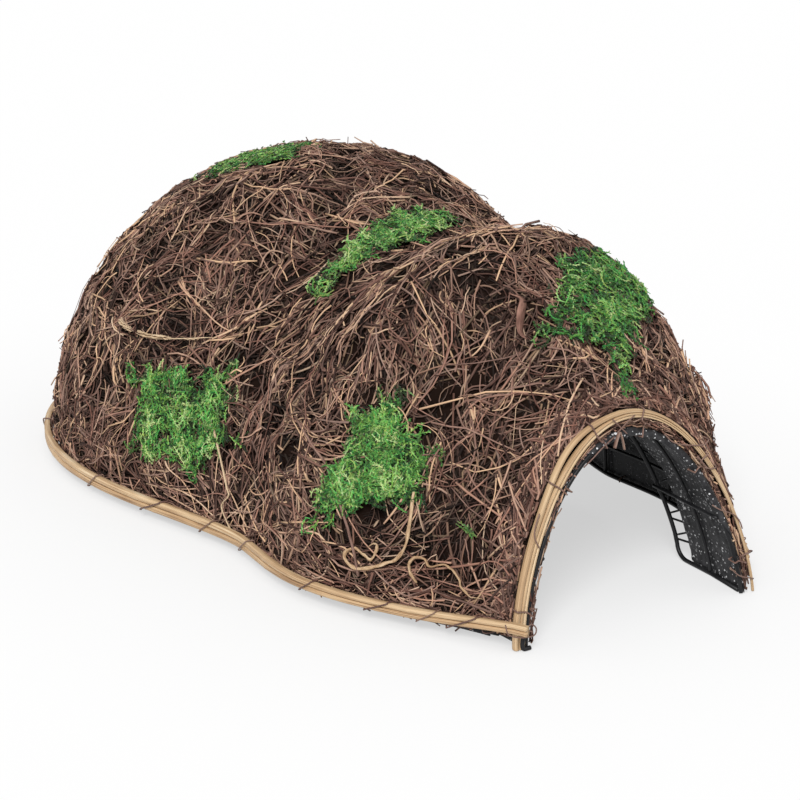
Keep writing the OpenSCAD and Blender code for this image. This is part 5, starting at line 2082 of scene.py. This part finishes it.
        # Painted shade: fronds lower in the cushion get a larger depth value, which darkens them and their
        # leaflets.
        depth = np.clip(1.4 * (1 - share) - 0.1, 0, 1)
        radii = rng.uniform(0.4, 0.75, n)[:, None] * np.linspace(1, 0.5, k)[None]
        strands = Strands(patch.node + "_fronds", 3)
        strands.add(paths, radii, tone, depth)
        run = unit(np.gradient(paths, axis=1))
        side = np.cross(run, up)
        for f in range(1, k - 1):
            for way in (-1, 1):
                aim = run[:, f] * rng.uniform(0.8, 1.5, (n, 1)) + side[:, f] * way * 0.85
                aim = aim + rng.normal(0, 0.3, (n, 3))
                reach = rng.uniform(1.8, 3.8, n)[:, None] * mix(1.0, 0.55, f / (k - 1))
                base = paths[:, f] + run[:, f] * rng.uniform(-0.6, 0.6, n)[:, None]
                tip = base + unit(aim) * reach
                bowed = mix(base, tip, 0.55) + run[:, f] * 0.3 - up[:, f] * 0.15
                leaf = rng.uniform(0.55, 1.0, n)[:, None] * np.array([0.7, 1.0, 0.2])[None]
                leaf_tone = np.clip(tone + rng.normal(0.03, 0.12, n), 0, 1)
                strands.add(np.stack([base, bowed, tip], 1), leaf, leaf_tone, depth, 0.5)
        return strands

    def build(self) -> None:
        """Builds the cushions."""
        material = self.finishes.moss.build()
        for index, patch in enumerate(self.patches):
            self.cushion(index, patch).build(material, Slot.MOSS, patch.node)


@dataclass
class StrayWood:
    """Curly roots, a bark stick and a pale stem caught in the brushwood."""

    finishes: Finishes
    root_d: float = 2.6
    above: float = 1.5
    stick_d: float = 4.4
    stem_d: float = 1.3
    seed: int = 83
    long_root: tuple = (
        (81, 152), (78, 157.5), (77.8, 162.5), (82.7, 166), (94, 169), (109, 171), (118.7, 170.5),
        (120.3, 169), (113.8, 167.5), (107, 168), (100.7, 168.5), (97.4, 166.5), (99, 165), (104, 166.3)
    )
    short_root: tuple = (
        (68, 170), (73, 168), (74.5, 166.5), (71, 164.5), (64.7, 164), (61.4, 165), (53, 163.5),
        (46.7, 163.5), (41.7, 165), (38.5, 167), (32, 168.5), (23.7, 168)
    )
    stick: tuple = ((440, 149), (421.6, 149.6), (400, 149.6), (374, 148.1), (349.5, 145.6), (328, 142.6))
    stem: tuple = (
        (307, 157), (290.6, 162.5), (276, 168.5), (272.6, 170.5), (279, 173.5), (267, 177.5), (252, 179.5)
    )

    def strand(self, name: str, places: tuple, d: float, tone: float, rough: float) -> None:
        """One strand of wood on the skin.

        Args:
            name: Name of the CAD node that it stands for.
            places: Stations and turns that it passes.
            d: Its diameter.
            tone: How light it is.
            rough: How uneven its thickness is.
        """
        rng = np.random.default_rng(self.seed + len(name))
        path = FORM.skin_path(places, d / 2 + self.above, 8)
        k = len(path)
        path = path + d * rough * np.stack([wander(rng, k, max(5, k // 4)) for _ in range(3)], -1)
        taper = np.clip(np.minimum(np.linspace(0.6, 9, k), np.linspace(6, 0.3, k)), 0, 1)
        taper = taper * np.linspace(1.25, 0.7, k)
        radii = d / 2 * taper * (1 + rough * wander(rng, k, max(5, k // 3)))
        strands = Strands(name + "_wood", 10)
        strands.one(path, radii, tone, 0.8)
        strands.build(self.material, Slot.PALE_WOOD, name)

    def bark(self, name: str, places: tuple, d: float) -> None:
        """A broken stick of flaky bark: slivers side by side in two pieces.

        Args:
            name: Name of the CAD node that it stands for.
            places: Stations and turns that it passes.
            d: Its diameter.
        """
        rng = np.random.default_rng(self.seed)
        path = FORM.skin_path(places, d / 2, 16)
        ends = np.clip(np.minimum(np.linspace(0.3, 4, 9), np.linspace(4, 0.2, 9)), 0, 1)
        strands = Strands(name + "_wood", 8)
        for piece, slivers in (((0.0, 0.25), 9), ((0.29, 0.62), 13), ((0.45, 1.0), 3)):
            for _ in range(slivers):
                a, b = np.sort(rng.uniform(*piece, 2))
                b = max(b, a + 0.12)
                line = along_line(path, np.linspace(a, min(b, piece[1]), 9) * (len(path) - 1))
                aside = rng.normal(0, d / 4.4, 3) + rng.normal(0, 0.3, (9, 3))
                width = rng.uniform(0.5, 1.25) * ends
                strands.one(line + aside, width, rng.uniform(0.6, 1.1), rng.uniform(0.3, 0.7))
        strands.build(self.material, Slot.PALE_WOOD, name)

    def build(self) -> None:
        """Builds the strands."""
        self.material = self.finishes.dry_wood.build()
        self.strand("curly_root_long", self.long_root, self.root_d, 0.5, 0.3)
        self.strand("curly_root_short", self.short_root, self.root_d * 0.8, 0.45, 0.3)
        self.bark("bark_stick", self.stick, self.stick_d)
        self.strand("pale_stem", self.stem, self.stem_d, 0.85, 0.12)


@dataclass
class Studio:
    """Floor, soft light and the camera of the photograph."""

    turn: float = -31.5154
    tip: float = 18.2564
    across: float = -165.4855
    up: float = 153.9554
    back: float = 1805.346
    lens: float = 117.0
    sensor: float = 36.0
    floor_half: float = 12.0
    sun: float = 3.1
    sun_angle: float = 24.0
    world: float = 0.34
    floor_glow: float = 0.75
    # shade and its reach: how much the painted ambient-occlusion shadow darkens the floor's glow, and how far
    # from the house it reaches, in metres.
    shade: float = 0.24
    painted_shadow_reach: float = 0.26

    @staticmethod
    def aim(made: bpy.types.Object, right: Array, away: Array, place: Array) -> None:
        """Places an object that looks against a direction."""
        axes = np.column_stack([right, np.cross(away, right), away, place])
        made.matrix_world = Matrix([*axes.tolist(), [0, 0, 0, 1]])

    def camera(self) -> None:
        """Places the camera."""
        a, e = math.radians(self.turn), math.radians(self.tip)
        right = np.array([math.cos(a), math.sin(a), 0])
        away = np.array([math.sin(a) * math.cos(e), -math.cos(a) * math.cos(e), math.sin(e)])
        place = self.across * right + self.up * np.cross(away, right) + self.back * away
        data = bpy.data.cameras.new("camera")
        data.lens, data.sensor_width = self.lens, self.sensor
        data.clip_end = 100.0
        camera = bpy.data.objects.new("camera", data)
        bpy.context.scene.collection.objects.link(camera)
        self.aim(camera, right, away, FORM.to_frame(place))
        bpy.context.scene.camera = camera

    def floor(self) -> None:
        """Lays the pale floor, which the camera sees as white, darkened near the house by a painted shadow
        from an ambient-occlusion node and, in part, by its real diffuse shading.
        """
        r = self.floor_half
        mesh = bpy.data.meshes.new("floor")
        mesh.from_pydata([(-r, -r, 0), (r, -r, 0), (r, r, 0), (-r, r, 0)], [], [(0, 1, 2, 3)])
        material, nt = new_material("pale_floor")
        nt.tree.nodes.clear()
        plain = nt.add("ShaderNodeBsdfDiffuse", {"Color": (0.82, 0.82, 0.82, 1)}).outputs[0]
        near = {"Distance": self.painted_shadow_reach}
        # Painted shadow: the ambient occlusion cuts the floor's white glow near the house.
        open_sky = nt.add("ShaderNodeAmbientOcclusion", near, samples=8).outputs["AO"]
        glow_with_painted_shadow = nt.math("MULTIPLY_ADD", open_sky, self.shade, 1.0 - self.shade)
        white = nt.add("ShaderNodeEmission", {"Color": (1, 1, 1, 1), "Strength": glow_with_painted_shadow}).outputs[0]
        bright = nt.add("ShaderNodeBsdfDiffuse", {"Color": (1, 1, 1, 1)}).outputs[0]
        shown = nt.add("ShaderNodeMixShader", {0: self.floor_glow, 1: bright, 2: white}).outputs[0]
        both = nt.add("ShaderNodeMixShader", {0: nt.seen(), 1: plain, 2: shown}).outputs[0]
        nt.add("ShaderNodeOutputMaterial", {"Surface": both})
        mesh.materials.append(material)
        floor = bpy.data.objects.new("floor", mesh)
        bpy.context.scene.collection.objects.link(floor)

    def light(self) -> None:
        """Hangs the soft lamp and sets the even light around."""
        lamp = bpy.data.lights.new("soft_lamp", "SUN")
        lamp.energy, lamp.angle = self.sun, math.radians(self.sun_angle)
        lamp_object = bpy.data.objects.new("soft_lamp", lamp)
        bpy.context.scene.collection.objects.link(lamp_object)
        place = np.array([-1.05, -1.2, 1.4])
        away = unit(place)
        self.aim(lamp_object, unit(np.cross([0, 0, 1.0], away)), away, place)
        world = bpy.data.worlds.new("studio")
        world.use_nodes = True
        nt = NodeTree(world.node_tree)
        nt.tree.nodes.clear()
        strength = nt.math("MULTIPLY_ADD", nt.seen(), 1.0 - self.world, self.world)
        shade = nt.add("ShaderNodeBackground", {"Color": (1, 1, 1, 1), "Strength": strength}).outputs[0]
        nt.add("ShaderNodeOutputWorld", {"Surface": shade})
        bpy.context.scene.world = world

    def build(self) -> None:
        """Sets up the studio."""
        bpy.context.scene.view_settings.view_transform = "Standard"
        self.camera()
        self.floor()
        self.light()


def main() -> None:
    """Builds the house and the studio."""
    logging.basicConfig(level=logging.INFO, format="%(message)s")
    finishes = Finishes()
    Studio().build()
    skin = Skin(FORM.thatch_face)
    envelope = Skin(FORM.over_skin)
    WireFrame(finishes).build()
    EntranceTunnel(finishes).build()
    ChamberLinings(finishes).build()
    Brushwood(skin, envelope, finishes).build()
    Canes(finishes).build()
    Binding(finishes).build()
    Moss(envelope, finishes).build()
    StrayWood(finishes).build()


if __name__ == "__main__":
    main()
